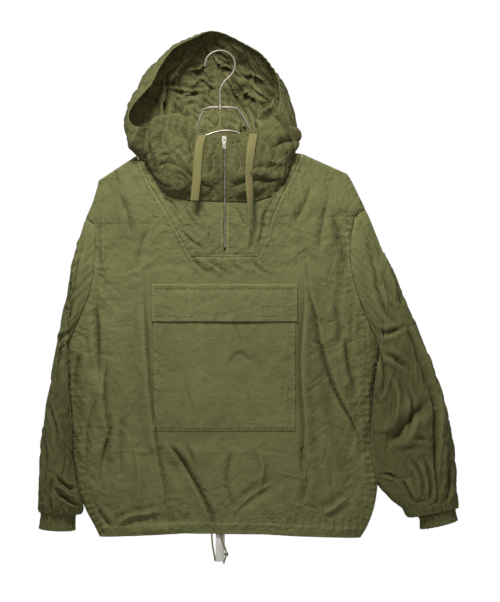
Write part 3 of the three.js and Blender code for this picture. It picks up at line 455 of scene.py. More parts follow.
# Fine rows and columns of a body panel. Rows are smooth between the corners of the outline.
def fineRows(rows, key, perRow):
    points = np.array([row[key] for row in rows], float)
    parts = []
    corners = [0, underarmRow, armholeTopRow, topRow]
    for first, last in zip(corners[:-1], corners[1:]):
        at = np.linspace(first, last, (last - first) * perRow + 1)
        if parts:
            at = at[1:]
        parts.append(smooth(np.arange(first, last + 1), points[first:last + 1], at))
    return np.concatenate(parts)


def panelGrid(rows, perRow, counts):
    edges = [fineRows(rows, key, perRow) for key in outlineColumns[:4]]
    pieces = []
    for start, end, count in zip(edges[:-1], edges[1:], counts):
        t = np.linspace(0, 1, count + 1)[:, None][1 if pieces else 0:]
        pieces.append(start[:, None, :] + (end - start)[:, None, :] * t[None])
    return np.concatenate(pieces, 1)


bodyCreases = [
    ("step", 9, 4.0, [(-220, -455), (-216, -513), (-215, -594)]),
    ("step", -9, 4.0, [(-204, -553), (-209, -603), (-207, -648), (-202, -688), (-212, -729), (-220, -769)]),
    ("valley", 12, 2.2, [(-175, -648), (-176, -711), (-175, -778)]),
    ("valley", 9, 3.0, [(-253, -540), (-259, -576), (-264, -616)]),
    ("valley", 8, 3.0, [(-220, -823), (-211, -841), (-194, -861)]),
    ("ridge", 8, 2.5, [(-191, -859), (-158, -837), (-104, -829)]),
    ("step", -9, 4.6,
     [(-110, -688), (-88, -713), (-61, -753), (-37, -794), (-23, -824), (-14, -850), (-11, -875)]),
    ("valley", 10, 3.0, [(201, -290), (211, -320), (220, -353), (234, -416)]),
    ("step", 9, 4.5,
     [(155, -353), (158, -392), (162, -439), (174, -482), (182, -528), (202, -594), (220, -634),
      (237, -666), (257, -711), (268, -734)]),
    ("step", -8, 4.0, [(220, -513), (231, -576), (246, -628)]),
    ("valley", 7, 3.0, [(280, -585), (277, -612), (274, -637)]),
    ("ridge", 12, 2.5, [(180, -837), (209, -821), (234, -801)]),
    ("ridge", 9, 1.4, [(23, -832), (54, -801), (99, -774)]),
    ("valley", 6, 2.8, [(-52, -373), (-36, -389), (-14, -410)]),
    ("valley", 6, 2.5, [(-27, -376), (4, -396), (29, -416)]),
    ("valley", 6, 2.5, [(22, -382), (36, -400), (41, -418)]),
    ("valley", 6, 2.8, [(58, -374), (68, -392), (86, -403), (115, -414)]),
    ("ridge", 9, 2.5, [(-36, -374), (-11, -392), (14, -418)]),
    ("valley", 10, 2.5, [(-184, -252), (-166, -297), (-158, -342)]),
    ("valley", 11, 2.0, [(-126, -315), (-144, -360), (-148, -405)]),
    ("ridge", 14, 2.5, [(-209, -261), (-211, -342), (-202, -432)]),
    ("valley", 10, 2.6, [(167, -225), (155, -270), (130, -320)]),
    ("valley", 12, 2.2, [(198, -252), (184, -315), (176, -382)]),
    ("valley", 10, 2.6, [(205, -450), (216, -504), (212, -540)]),
    ("valley", 9, 2.4, [(-223, -621), (-238, -684), (-241, -756)]),
    ("ridge", 10, 2.4, [(-153, -702), (-144, -774), (-151, -846)]),
    ("valley", 9, 2.2, [(22, -711), (14, -774), (29, -837)]),
    ("valley", 10, 2.2, [(144, -702), (155, -765), (144, -828)]),
    ("valley", 8, 2.0, [(-68, -695), (-54, -720), (-43, -756)]),
    ("ridge", 9, 2.0, [(68, -702), (76, -756), (65, -810)]),
]
backCreases = [
    ("valley", 10, 3.0, [(-90, -215), (-110, -300), (-122, -400)]),
    ("valley", 11, 3.0, [(85, -215), (112, -310), (118, -420)]),
    ("step", 10, 4.0, [(-196, -300), (-182, -420), (-176, -540), (-186, -660)]),
    ("step", -10, 4.0, [(200, -290), (186, -400), (184, -520), (196, -640)]),
    ("ridge", 12, 3.0, [(-20, -230), (-34, -340), (-28, -470)]),
    ("valley", 9, 3.2, [(20, -400), (34, -520), (22, -650)]),
    ("valley", 10, 3.0, [(-130, -520), (-118, -640), (-132, -780)]),
    ("ridge", 11, 2.8, [(90, -540), (98, -660), (84, -790)]),
    ("valley", 9, 3.0, [(150, -610), (160, -720), (146, -840)]),
    ("valley", 8, 2.6, [(-60, -700), (-48, -780), (-62, -850)]),
    ("ridge", 9, 2.6, [(-210, -640), (-220, -730), (-208, -810)]),
    ("valley", 8, 2.8, [(-240, -520), (-214, -560), (-176, -580)]),
    ("valley", 8, 2.8, [(246, -500), (220, -545), (184, -566)]),
    ("valley", 7, 2.4, [(-60, -196), (-40, -222), (-8, -236)]),
    ("valley", 7, 2.4, [(70, -196), (44, -220), (12, -232)]),
]
# A pucker is its depth, period and reach, a felled seam its width and height.
bodyLook = {"perRow": 11, "columns": (72, 50, 74), "hemBand": 20, "bandOut": 0.8, "fadeAtEdge": 9,
            "gain": 2.1, "foldGain": 2.2, "pocketCalm": 0.93, "seamPucker": (2.0, 12, 15),
            "stitchPucker": (1.0, 15, 17), "hemPucker": (0.7, 13, 16),
            "sideFell": (8, 0.9), "shoulderFell": (8, 0.7),
            "facets": [{"size": (70, 210), "turn": 0.05, "deep": 3.4},
                       {"size": (34, 80), "turn": 0.35, "deep": 1.3}]}
bodyBuckle = {"quality": 4, "stiff": 15, "bend": 0.1, "hold": 1.0, "grow": 0.02, "gravity": 0.1, "frames": 12,
              "form": 0.15}
bodyCrumple = [
    {"count": 170, "turn": 0.0, "spread": 0.3, "length": (60, 200), "wide": (3, 8), "deep": (0.4, 1.6)},
    {"count": 220, "turn": 0.6, "spread": 0.9, "length": (25, 80), "wide": (2.5, 5), "deep": (0.25, 0.9)},
]
# Long folds that run on past the pocket.
longFolds = [
    ("step", -8, 3.4,
     [(-139, -400), (-134, -500), (-127, -600), (-122, -650), (-117, -692), (-109, -740), (-101, -783),
      (-95, -837), (-90, -866)]),
    ("step", 8, 3.2,
     [(150, -392), (152, -450), (147, -520), (146, -600), (152, -680), (149, -760), (158, -830)]),
]


def lineOf(rows, key, first=0, last=None):
    return [row[key] for row in rows[first:last]]


sideSeams = [lineOf(bodyOutline, key, 0, underarmRow + 1) for key in ("left", "right")]
armholes = [lineOf(bodyOutline, key, underarmRow, armholeTopRow + 1) for key in ("left", "right")]
shoulders = [[bodyOutline[topRow][key] for key in outlineColumns[n:n + 2]] for n in (0, 2)]
bibEdges = [lineOf(bodyOutline, key, bibBottomRow) for key in ("bibLeft", "bibRight")]
bibFoot = [bodyOutline[bibBottomRow][key] for key in ("bibLeft", "bibRight")]
hemLine = [bodyOutline[0][key] for key in outlineColumns[:4]]
hemStitch = [(x, z + bodyLook["hemBand"]) for x, z in hemLine]


def gapTo(x, z, lines):
    gap = np.full(np.shape(x), 1e9)
    for line in lines:
        gap = np.minimum(gap, nearest(x, z, line)[0])
    return gap


def seamMarks(x, z, lines, reach=2.6):
    worn = np.zeros(np.shape(x))
    for line in lines:
        gap, _, _, _ = nearest(x, z, line)
        worn = np.maximum(worn, np.exp(-(gap / reach) ** 2))
    return worn


# Height of the cloth over the plain body surface, used by the panels and by what lies on them.
def clothHeight(x, z, side):
    edges = sideSeams + armholes + shoulders + (bibEdges + [bibFoot] if side == "front" else [])
    fade = smoothstep(gapTo(x, z, edges) / bodyLook["fadeAtEdge"])
    creases = bodyCreases if side == "front" else backCreases
    height = bodyLook["gain"] * creaseHeight(x, z, creases) * fade
    for n, recipe in enumerate(bodyCrumple):
        height += crumple(x, z, recipe, (11 if side == "front" else 41) + n) * fade
    for n, recipe in enumerate(bodyLook["facets"]):
        height += facets(x, z, recipe, (61 if side == "front" else 71) + n) * fade
    if side == "front":
        inPocket = 1 - pocketCalm(x, z, 20)
        height = height * (1 - bodyLook["pocketCalm"] * inPocket)
        height += bodyLook["foldGain"] * creaseHeight(x, z, longFolds) * fade
    for n, line in enumerate(sideSeams + armholes):
        gap, along, _, _ = nearest(x, z, line)
        height += pucker(gap, along, *bodyLook["seamPucker"], 3 + n) * smoothstep(gap / 3)
        height += seamBand(gap, along, *bodyLook["sideFell"], 13 + n)
    for n, line in enumerate(shoulders):
        gap, along, _, _ = nearest(x, z, line)
        height += seamBand(gap, along, *bodyLook["shoulderFell"], 17 + n)
    gap, along, _, _ = nearest(x, z, hemStitch)
    height += pucker(gap, along, *bodyLook["stitchPucker"], 21)
    height -= 0.8 * np.exp(-(gap / 1.6) ** 2)
    hemGap, hemAlong, _, _ = nearest(x, z, hemLine)
    height += bodyLook["bandOut"] * (1 - smoothstep((hemGap - bodyLook["hemBand"] + 1) / 1.6))
    height += pucker(hemGap, hemAlong, *bodyLook["hemPucker"], 25)
    return height


def bodyPanel(name, rows, side, keepMiddle):
    flat = panelGrid(rows, bodyLook["perRow"], bodyLook["columns"])
    x, z = flat[..., 0], flat[..., 1]
    toward = -1 if side == "front" else 1
    depth = np.maximum(bodyDepth(x, z, side) + clothHeight(x, z, side), edgeHalf)
    points = np.stack([x, toward * depth, z], -1)
    left, middle, _ = bodyLook["columns"]
    keep = np.ones((points.shape[0] - 1, points.shape[1] - 1), bool)
    if not keepMiddle:
        keep[bibBottomRow * bodyLook["perRow"]:, left:left + middle] = False
    uv = np.stack([x, z], -1)
    seams = sideSeams + armholes + shoulders + [hemStitch, hemLine]
    if side == "front":
        seams = seams + bibEdges + [bibFoot]
    marks = {"worn": seamMarks(x, z, seams), "crush": 0.35 + 0.65 * seamMarks(x, z, seams, 32)}
    held = seamMarks(x, z, seams, 12)
    if side == "front":
        held = np.maximum(held, 1 - pocketCalm(x, z, 10))
    marks["pins"] = np.clip(held * 1.6, 0, 1)
    piece = gridPiece(name, points, uv, keep, flip=side != "front", marks=marks)
    return buckle(piece, bodyBuckle) if side == "front" else piece


# Back panel rows end at the back neck.
neckCorner = {"left": (-127, -184), "right": (126, -182)}


def backOutline():
    low = bodyOutline[bibBottomRow]
    rows = []
    for n, row in enumerate(bodyOutline):
        t = min(max((n - bibBottomRow) / (topRow - bibBottomRow), 0), 1)
        row = dict(row)
        if t > 0:
            for key, corner in (("bibLeft", neckCorner["left"]), ("bibRight", neckCorner["right"])):
                row[key] = tuple(low[key][k] + (corner[k] - low[key][k]) * t for k in (0, 1))
        rows.append(row)
    return rows


bodyFront = bodyPanel("bodyFront", bodyOutline, "front", False)
bodyBack = bodyPanel("bodyBack", backOutline(), "back", True)
print("body panels", len(bodyFront.data.vertices), len(bodyBack.data.vertices))


# Bib between the two curved seams, with the slit for the zip.
bibLook = {"rows": 60, "columns": 96, "slitShare": 0.028, "slitRow": 0.13, "gain": 2.2, "crumple": 1.5,
           "footPucker": (0.8, 11, 14), "edgePucker": (1.4, 13, 14), "fell": (8, 0.9)}
# Neckline from the left shoulder: share of the way, x and z.
neckline = [(0, -150.4, -188.8), (0.07, -128, -186), (0.13, -121, -214), (0.2, -113, -240), (0.28, -96, -261),
            (0.38, -56, -272), (0.5, zipX, -274), (0.62, 62, -275), (0.72, 94, -264), (0.8, 111, -240),
            (0.87, 120, -212), (0.93, 127, -184), (1, 148.4, -185.8)]
bibCreases = [
    ("valley", 5, 1.8, [(-108, -263), (-86, -277), (-72, -299)]),
    ("valley", 6, 2.0, [(-61, -284), (-50, -306), (-29, -328)]),
    ("ridge", 6, 2.0, [(-45, -283), (-29, -301), (-14, -328)]),
    ("valley", 5, 1.8, [(22, -277), (36, -295), (47, -320)]),
    ("valley", 6, 2.2, [(54, -317), (58, -342), (54, -364)]),
    ("ridge", 6, 2.0, [(68, -292), (72, -320), (65, -353)]),
    ("valley", 5, 1.6, [(86, -281), (79, -306), (83, -338)]),
    ("valley", 5, 1.6, [(-76, -320), (-54, -342), (-29, -360)]),
    ("valley", 4, 1.4, [(-25, -295), (-18, -324), (-25, -353)]),
    ("valley", 5, 1.6, [(-140, -212), (-126, -234), (-112, -248)]),
    ("valley", 5, 1.6, [(130, -209), (115, -234), (108, -263)]),
]


def bibEdge(key, up):
    rows = bodyOutline[bibBottomRow:]
    points = np.array([row[key] for row in rows], float)
    points[:, 0] += 0.3 if key == "bibLeft" else -0.3
    points[:, 1] += 0.2
    share = (points[:, 1] - points[0, 1]) / (points[-1, 1] - points[0, 1])
    return smooth(share, points, np.ravel(up)).reshape(np.shape(up) + (2,))


def bibPlace(across, up):
    share, topX, topZ = zip(*neckline)
    top = np.stack([straight(share, topX, across), straight(share, topZ, across)], -1)
    left, right = bibEdge("bibLeft", up), bibEdge("bibRight", up)
    footLeft, topLeft = bibEdge("bibLeft", np.array([0.0, 1.0]))
    footRight, topRight = bibEdge("bibRight", np.array([0.0, 1.0]))
    a, u = across[..., None], up[..., None]
    foot = footLeft + (footRight - footLeft) * a
    corners = foot * (1 - u) + (topLeft + (topRight - topLeft) * a) * u
    return foot * (1 - u) + top * u + left * (1 - a) + right * a - corners


def bibPiece():
    up = np.linspace(0, 1, bibLook["rows"] + 1)
    half = bibLook["columns"] // 2
    across = np.concatenate([np.linspace(0, 0.5 - bibLook["slitShare"], half),
                             np.linspace(0.5 + bibLook["slitShare"], 1, half)])
    a, u = np.meshgrid(across, up)
    place = bibPlace(a, u)
    x, z = place[..., 0], place[..., 1]
    # Columns beside the slit run straight down the zip.
    for n, column in ((half - 1, zipX - slitHalf + 0.8), (half, zipX + slitHalf - 0.8)):
        move = column - x[:, n]
        for k in range(7):
            m = n - k if n < half else n + k
            x[:, m] += move * (1 - smoothstep(k / 7))
    edges = bibEdges + [bibFoot]
    slitGap = np.abs(x - zipX) - slitHalf
    fade = smoothstep(gapTo(x, z, edges) / 8) * smoothstep(slitGap / 10)
    height = bibLook["gain"] * creaseHeight(x, z, bibCreases) * fade
    height += crumple(x, z, bodyCrumple[1] | {"count": 130, "turn": 0.2}, 71) * fade * bibLook["crumple"]
    height += 0.25
    gap, along, _, _ = nearest(x, z, bibFoot)
    height += pucker(gap, along, *bibLook["footPucker"], 31) * smoothstep(gap / 2)
    for n, line in enumerate(bibEdges):
        gap, along, _, _ = nearest(x, z, line)
        height += pucker(gap, along, *bibLook["edgePucker"], 33 + n) * smoothstep(gap / 2)
        height += seamBand(gap, along, *bibLook["fell"], 36 + n)
    # The edge turned in beside the zip stands up a little.
    height += 0.8 * np.exp(-((slitGap - 2.5) / 2.6) ** 2)
    depth = bodyDepth(x, z, "front") + height
    points = np.stack([x, -depth, z], -1)
    keep = np.ones((points.shape[0] - 1, points.shape[1] - 1), bool)
    keep[int(bibLook["slitRow"] * bibLook["rows"]):, half - 1] = False
    besideZip = [zipX - slitHalf - 1, zipX + slitHalf + 1]
    worn = seamMarks(x, z, edges + [[(at, -358), (at, -270)] for at in besideZip])
    marks = {"worn": worn, "crush": 0.85 + 0 * x}
    return gridPiece("frontBib", points, np.stack([x, z], -1), keep, marks=marks)


frontBib = bibPiece()


# Pocket and flap, made from the front's surface moved out.
patchOut = 1.8    # height of the patch over the front
patchLook = {"creases": 0.9, "crumple": 0.5, "facets": 0.55, "pucker": (0.6, 9, 9), "sewnDown": 1.2}
pocketCreases = [
    ("valley", 6, 1.8, [(26, -491), (33, -510), (42, -529)]),
    ("step", 7, 1.8, [(8, -574), (22, -550), (33, -543), (44, -546), (68, -563)]),
    ("valley", 5, 1.6, [(-64, -426), (-60, -450), (-57, -486)]),
    ("valley", 5, 1.0, [(26, -434), (31, -446), (34, -457)]),
    ("valley", 5, 1.0, [(-114, -570), (-94, -573), (-72, -582)]),
    ("step", 7, 1.3, [(-65, -578), (-58, -604), (-49, -631), (-36, -669)]),
    ("valley", 6, 1.1, [(49, -601), (53, -628), (53, -658)]),
    ("valley", 5, 1.0, [(-30, -574), (-17, -584), (0, -597)]),
    ("valley", 5, 0.9, [(-87, -532), (-70, -524), (-53, -529)]),
    ("valley", 5, 1.0, [(-119, -638), (-112, -646), (-106, -654)]),
]


def patchPiece(name, box, counts, lift, seed, sewn):
    x, z = np.meshgrid(np.linspace(box["left"], box["right"], counts[0] + 1),
                       np.linspace(box["bottom"], box["top"], counts[1] + 1))
    edge = np.minimum(np.minimum(x - box["left"], box["right"] - x),
                      np.minimum(z - box["bottom"], box["top"] - z))
    inner = smoothstep(edge / 7)
    height = clothHeight(x, z, "front") + patchLook["creases"] * creaseHeight(x, z, pocketCreases) * inner
    height += crumple(x, z, bodyCrumple[1], seed) * patchLook["crumple"] * inner
    height += patchLook["facets"] * facets(x, z, bodyLook["facets"][1], seed + 5) * inner
    corners = (("left", "top"), ("left", "bottom"), ("right", "bottom"), ("right", "top"))
    outline = [(box[acrossTo], box[upTo]) for acrossTo, upTo in corners]
    gap, along, _, _ = nearest(x, z, outline)
    height += pucker(gap, along, *patchLook["pucker"], seed + 1) * smoothstep(gap / 2)
    height += 0.5 * (1 - smoothstep((edge - 6) / 3)) * smoothstep(edge / 1.5)
    height += lift(x, z)
    # A pocket is sewn down on every side, a flap along its top.
    sewnGap = edge if sewn else box["top"] - z
    height -= patchLook["sewnDown"] * (1 - smoothstep(sewnGap / 3.5))
    points = np.stack([x, -(bodyDepth(x, z, "front") + height), z], -1)
    closed = [outline + [outline[0]]]
    marks = {"worn": seamMarks(x, z, closed), "crush": 0.4 + 0.4 * seamMarks(x, z, closed, 20)}
    return gridPiece(name, points, np.stack([x, z], -1), marks=marks)


def flapLift(x, z):
    step = np.clip((-431 - z) / 7, 0, 1)
    foot = np.clip((-431 - z) / 58, 0, 1)
    share = np.clip((x - flapBox["left"]) / (flapBox["right"] - flapBox["left"]), 0, 1)
    belly = 2.2 * np.sin(np.pi * share) ** 0.7
    return patchOut * (1 + step) + (belly + 0.5 * np.sin(x / 23.0)) * foot ** 1.5


pocket = patchPiece("frontPocket", pocketBox, (84, 80), lambda x, z: patchOut, 81, True)
pocketFlap = patchPiece("pocketFlap", flapBox, (88, 26), flapLift, 91, False)
print("bib and pocket")


# Sleeves: rings from the armhole down, each with its outer and inner edge seen from the front, its half
# depth and its shift to the back.
sleeveForms = {
    "left": [
        ((-257, -347), (-286, -576), 38, 0),
        ((-265, -380), (-281, -596), 44, 1),
        ((-270, -405), (-278, -616), 48, 2),
        ((-284, -468), (-275, -648), 52, 4),
        ((-297, -531), (-273, -684), 54, 6),
        ((-310, -603), (-272, -716), 55, 7),
        ((-319, -666), (-271, -745), 55, 8),
        ((-325, -729), (-267, -772), 54, 8),
        ((-328, -775), (-262, -797), 52, 8),
        ((-329, -812), (-258, -820), 47, 8),
        ((-328, -834), (-260, -838), 38, 8),
    ],
    "right": [
        ((290, -350), (290, -560), 36, 0),
        ((303, -376), (285, -592), 40, 1),
        ((318, -405), (281, -622), 42, 2),
        ((340, -458), (280, -660), 43, 3),
        ((362, -512), (279, -700), 42, 4),
        ((384, -573), (282, -738), 41, 4),
        ((404, -630), (290, -768), 40, 5),
        ((419, -690), (303, -789), 38, 5),
        ((426, -745), (322, -809), 36, 5),
        ((428, -795), (342, -827), 34, 5),
        ((432, -826), (354, -844), 30, 5),
    ],
}
sleeveLook = {"sides": 132, "perRing": 11, "bandOut": 0.8, "lean": {"left": 8, "right": 14}, "gain": 2.9,
              "leadRows": 7, "leadRun": 25, "ringRun": 28, "linePucker": (0.9, 11, 14), "gather": 2.6,
              "facets": [{"size": (42, 130), "turn": -0.15, "deep": 4.5},
                         {"size": (24, 46), "turn": 0.5, "deep": 1.6}]}
sleeveLeftCreases = [
    ("valley", 6, 3.0, [(-302, -756), (-304, -810), (-306, -861)]),
    ("valley", 5, 2.5, [(-293, -761), (-277, -781), (-252, -792)]),
    ("valley", 5, 2.5, [(-288, -796), (-270, -810), (-250, -823)]),
    ("ridge", 6, 2.5, [(-295, -778), (-274, -796), (-256, -806)]),
    ("step", 6, 3.0, [(-238, -320), (-252, -382), (-259, -450), (-277, -508)]),
    ("valley", 8, 2.5, [(-277, -450), (-288, -531), (-299, -630)]),
    ("ridge", 7, 2.5, [(-270, -396), (-281, -468), (-288, -540)]),
    ("valley", 6, 2.5, [(-263, -504), (-281, -515), (-295, -526)]),
    ("valley", 6, 2.5, [(-284, -544), (-295, -580), (-302, -630)]),
    ("valley", 6, 2.0, [(-310, -630), (-295, -675), (-288, -729)]),
    ("valley", 6, 2.5, [(-317, -684), (-313, -747), (-319, -810)]),
    ("ridge", 6, 2.0, [(-288, -666), (-281, -720), (-288, -774)]),
    ("valley", 5, 2.2, [(-283, -819), (-281, -839), (-284, -860)]),
    ("valley", 4, 2.0, [(-319, -821), (-319, -842), (-317, -860)]),
]
sleeveRightCreases = [
    ("valley", 8, 4.0, [(238, -297), (257, -324), (271, -376), (283, -434), (294, -468), (317, -491)]),
    ("step", 9, 4.5,
     [(326, -464), (355, -527), (375, -580), (390, -628), (392, -686), (392, -772), (395, -810)]),
    ("valley", 7, 3.0, [(294, -542), (315, -554), (338, -573)]),
    ("valley", 16, 4.0, [(301, -715), (333, -673), (373, -630)]),
    ("valley", 6, 2.2, [(352, -696), (362, -698), (371, -702)]),
    ("step", 6, 3.0, [(329, -769), (342, -792), (355, -818)]),
    ("valley", 5, 2.2, [(292, -763), (304, -765), (317, -772)]),
    ("valley", 7, 2.6, [(299, -378), (320, -436), (338, -482)]),
    ("ridge", 9, 3.0, [(274, -315), (299, -396), (324, -459)]),
    ("valley", 7, 2.6, [(274, -504), (302, -508), (328, -497)]),
    ("valley", 7, 2.6, [(284, -531), (295, -580), (288, -634)]),
    ("ridge", 8, 2.6, [(310, -580), (320, -630), (313, -688)]),
    ("valley", 7, 2.4, [(338, -603), (346, -652), (331, -702)]),
    ("valley", 6, 2.6, [(367, -729), (378, -774), (378, -819)]),
    ("valley", 6, 2.6, [(414, -729), (414, -778), (407, -821)]),
    ("ridge", 7, 2.6, [(403, -702), (403, -756), (400, -810)]),
    ("valley", 6, 2.4, [(342, -729), (360, -767), (367, -810)]),
]
# Dents on the sleeve: ring, angle, reach around, length in rings and depth.
sleeveWaves = [
    (0.9, 1.6, 0.5, 3, 6),
    (3.5, 1.1, 0.45, 3, 6),
    (6.5, 1.9, 0.4, 3, 6),
    (8.0, 0.9, 0.4, 2, 5),
    (2.5, 4.4, 0.5, 4, 7),
    (6.0, 5.1, 0.5, 4, 7),
    (8.5, 4.0, 0.4, 2, 5),
]
sleeveBuckle = {"quality": 4, "stiff": 15, "bend": 0.05, "hold": 1.0, "grow": 0.025, "gravity": 0.1,
                "frames": 18, "form": 0.15}


def sleeveRing(rows, at, angle):
    keys = np.arange(len(rows))
    outer, inner, half, shift = (smooth(keys, part, at)[:, None] for part in zip(*rows))
    c, s = np.cos(angle)[None], np.sin(angle)[None]
    dent = np.zeros((len(at), len(angle)))
    for ring, turn, reach, length, depth in sleeveWaves:
        turned = np.abs(angle[None] - turn) / reach
        away = np.abs(at[:, None] - ring) / length
        shape = np.cos(np.clip(turned, 0, 1) * np.pi / 2) ** 2 * (1 - away ** 2)
        dent += np.where((turned < 1) & (away < 1), depth * shape, 0)
    deep = half * np.sign(s) * np.abs(s) ** 0.85 * (1 - dent / half)
    middle, reach = (outer + inner) / 2, (outer - inner) / 2
    x = middle[..., 0] + reach[..., 0] * c
    z = middle[..., 1] + reach[..., 1] * c
    return np.stack([x, shift - deep, z], -1)


def armholeRing(side, angle):
    edge = [row[side] for row in bodyOutline[underarmRow:armholeTopRow + 1]]
    top, bottom = edge[-1][1], edge[0][1]
    share = (1 - np.cos(angle)) / 2
    z = top + (bottom - top) * share
    heights, places = [p[1] for p in edge], [p[0] for p in edge]
    x = smooth(heights, places, z) + (0.8 if side == "left" else -0.8)
    place = np.clip((z - bottom) / (top - bottom), 0, 1)
    depth = edgeHalf + bodyForm["armholeGap"] * np.abs(np.sin(np.pi * place)) ** 0.8
    depth = (depth - 0.9) * np.minimum(np.abs(np.sin(angle)) * 8, 1)
    return np.stack([x, np.where(angle < math.pi, -1, 1) * depth, z + 0.5], -1)


def sleevePiece(side):
    # The lower sleeve leans on the body's side.
    lean = (1 if side == "left" else -1) * sleeveLook["lean"][side]
    count = len(sleeveForms[side])
    rows = []
    for n, (outer, inner, half, shift) in enumerate(sleeveForms[side]):
        leaning = inner[0] + lean * float(smoothstep(n / count * 2.2))
        rows.append((outer, (leaning, inner[1]), half, shift))
    angle = np.linspace(0, 2 * math.pi, sleeveLook["sides"], endpoint=False)
    at = np.linspace(0, len(rows) - 1, (len(rows) - 1) * sleeveLook["perRing"] + 1)
    body = sleeveRing(rows, at, angle)
    first = armholeRing(side, angle)
    steps = sleeveLook["leadRows"]
    lead = np.linspace(0, 1, steps + 1)[:-1, None, None]
    ease = lead * (2 - lead) * 0.4 + lead * 0.6
    head = first[None] + (body[0] - first)[None] * ease
    points = np.concatenate([head, body])
    normal = normalsOf(points, wrap=True)
    outward = points - points.mean(1, keepdims=True)
    if (normal * outward).sum() < 0:
        normal = -normal
    x, z = points[..., 0], points[..., 2]
    girth = np.linalg.norm(np.roll(body, -1, 1) - body, axis=2).sum(1).mean()
    v = np.concatenate([np.linspace(-sleeveLook["leadRun"], 0, steps, endpoint=False),
                        at * sleeveLook["ringRun"]])
    u = np.broadcast_to(angle / (2 * math.pi) * girth, x.shape)
    length = np.linalg.norm(np.diff(points, axis=0), axis=2)
    vv = np.concatenate([np.zeros((1, length.shape[1])), np.cumsum(length, 0)])
    facing = np.abs(normal[..., 1])
    isFront = normal[..., 1] < 0
    creases = sleeveLeftCreases if side == "left" else sleeveRightCreases
    backWay = -1 if side == "left" else 1
    height = np.where(isFront, creaseHeight(x, z, creases), creaseHeight(x + 6 * backWay, z + 17, creases))
    height *= sleeveLook["gain"] * smoothstep(facing * 1.8)
    height += crumple(u, vv, bodyCrumple[0] | {"count": 40, "length": (40, 140)}, 51)
    height += crumple(u, vv, bodyCrumple[1] | {"count": 45}, 53)
    for n, recipe in enumerate(sleeveLook["facets"]):
        turned = np.minimum(u, girth - u)
        height += facets(turned, vv, recipe, 63 + n) * smoothstep(turned / 8 + 0.15)
    first = np.minimum(np.arange(len(points)) / (steps + 3), 1)[:, None]
    last = np.minimum((len(points) - 1 - np.arange(len(points))) / 10, 1)[:, None]
    height *= smoothstep(first) * (0.25 + 0.75 * smoothstep(last))
    gather = np.cos(angle * 22) * 0.6 + np.cos(angle * 37 + 1.3) * 0.4
    height += (sleeveLook["gather"] * gather[None] * (1 - smoothstep(last * 0.9))
               * (0.3 + 0.7 * smoothstep(last * 3)))
    lineGap = v[:, None] + sleeveLook["leadRun"]
    height += pucker(lineGap, u, *sleeveLook["linePucker"], 57) * smoothstep(lineGap / 3)
    height += sleeveLook["bandOut"] * (1 - smoothstep((lineGap - 9) / 3)) * smoothstep(lineGap / 2)
    points = points + normal * height[..., None]
    seam = np.exp(-(lineGap / 3) ** 2) + np.exp(-((angle[None] - math.pi) * 40 / 3) ** 2)
    uv = np.stack([u, vv], -1)
    held = np.maximum(1 - smoothstep((lineGap - 8) / 16),
                      1 - smoothstep((v[-1] - v[:, None] - 4) / 14)) + x * 0
    # The sleeve carries painted shade, darker towards the cuff.
    marks = {"worn": np.minimum(seam + x * 0, 1), "crush": 0.35 + 0.4 * np.exp(-(lineGap / 40) ** 2) + 0 * x,
             "dyeAndShade": 0.1 + 0.75 * smoothstep((-340 - z) / 280), "pins": held}
    piece = gridPiece(f"sleeve{side.capitalize()}", points, uv, wrap=True, flip=side == "left", marks=marks)
    return buckle(piece, sleeveBuckle)


sleeveLeft = sleevePiece("left")
sleeveRight = sleevePiece("right")


# Cuffs: short elastic tubes drawn into gathers.
cuffForms = {
    "left": {"top": (-294, -836.5), "bottom": (-296.5, -866), "wide": 33.5, "deep": 36, "shift": 8,
             "lift": 0.1, "slope": 4 / -68},
    "right": {"top": (393, -835.7), "bottom": (396, -858), "wide": 35, "deep": 28, "shift": 5,
              "lift": 0.3, "slope": 18 / 78},
}
cuffLook = {"sides": 352, "rows": 22, "gathers": 22, "depth": 2.4}
# Swell of the cuff from its seam down: share of the way and size.
cuffSwell = [(0, 0.985), (0.12, 0.945), (0.3, 0.91), (0.55, 0.925), (0.85, 0.95), (1, 0.95)]


def cuffPiece(side):
    form = cuffForms[side]
    share = np.linspace(0, 1, cuffLook["rows"] + 1)[:, None]
    angle = np.linspace(0, 2 * math.pi, cuffLook["sides"], endpoint=False)[None]
    swell = smooth(*zip(*cuffSwell), share)
    grow = smoothstep(share / 0.3)
    wave = cuffLook["depth"] * np.cos(angle * cuffLook["gathers"]) * (0.6 + 0.4 * np.sin(angle * 3 + 1))
    wave = wave + 0.7 * np.cos(angle * 41 + 2 + 1.5 * share) * np.sin(angle * 5 + 0.6)
    line = np.exp(-((share - 0.24) / 0.05) ** 2) + np.exp(-((share - 0.72) / 0.05) ** 2)
    wave = wave * grow * (1 - 0.35 * line)
    x0 = form["top"][0] + (form["bottom"][0] - form["top"][0]) * share
    z0 = form["top"][1] + (form["bottom"][1] - form["top"][1]) * share
    dx = (form["wide"] * swell + wave) * np.cos(angle)
    deep = (form["deep"] * swell + wave) * np.sin(angle)
    points = np.stack([x0 + dx, form["shift"] - deep, z0 + dx * form["slope"] + form["lift"]], -1)
    girth = 2 * math.pi * (form["wide"] + form["deep"]) / 2
    uv = np.stack([angle / (2 * math.pi) * girth + 0 * share, -30 * share + 0 * angle], -1)
    worn = np.clip(line + np.exp(-(share / 0.06) ** 2) + np.exp(-((1 - share) / 0.06) ** 2), 0, 1)
    even = 0 * share + 0 * angle
    # The cuff carries an even painted shade.
    marks = {"worn": worn + even, "crush": 0.5 + even, "dyeAndShade": 0.8 + even}
    return gridPiece(f"cuff{side.capitalize()}", points, uv, wrap=True, marks=marks)


cuffLeft = cuffPiece("left")
cuffRight = cuffPiece("right")
print("sleeves and cuffs")


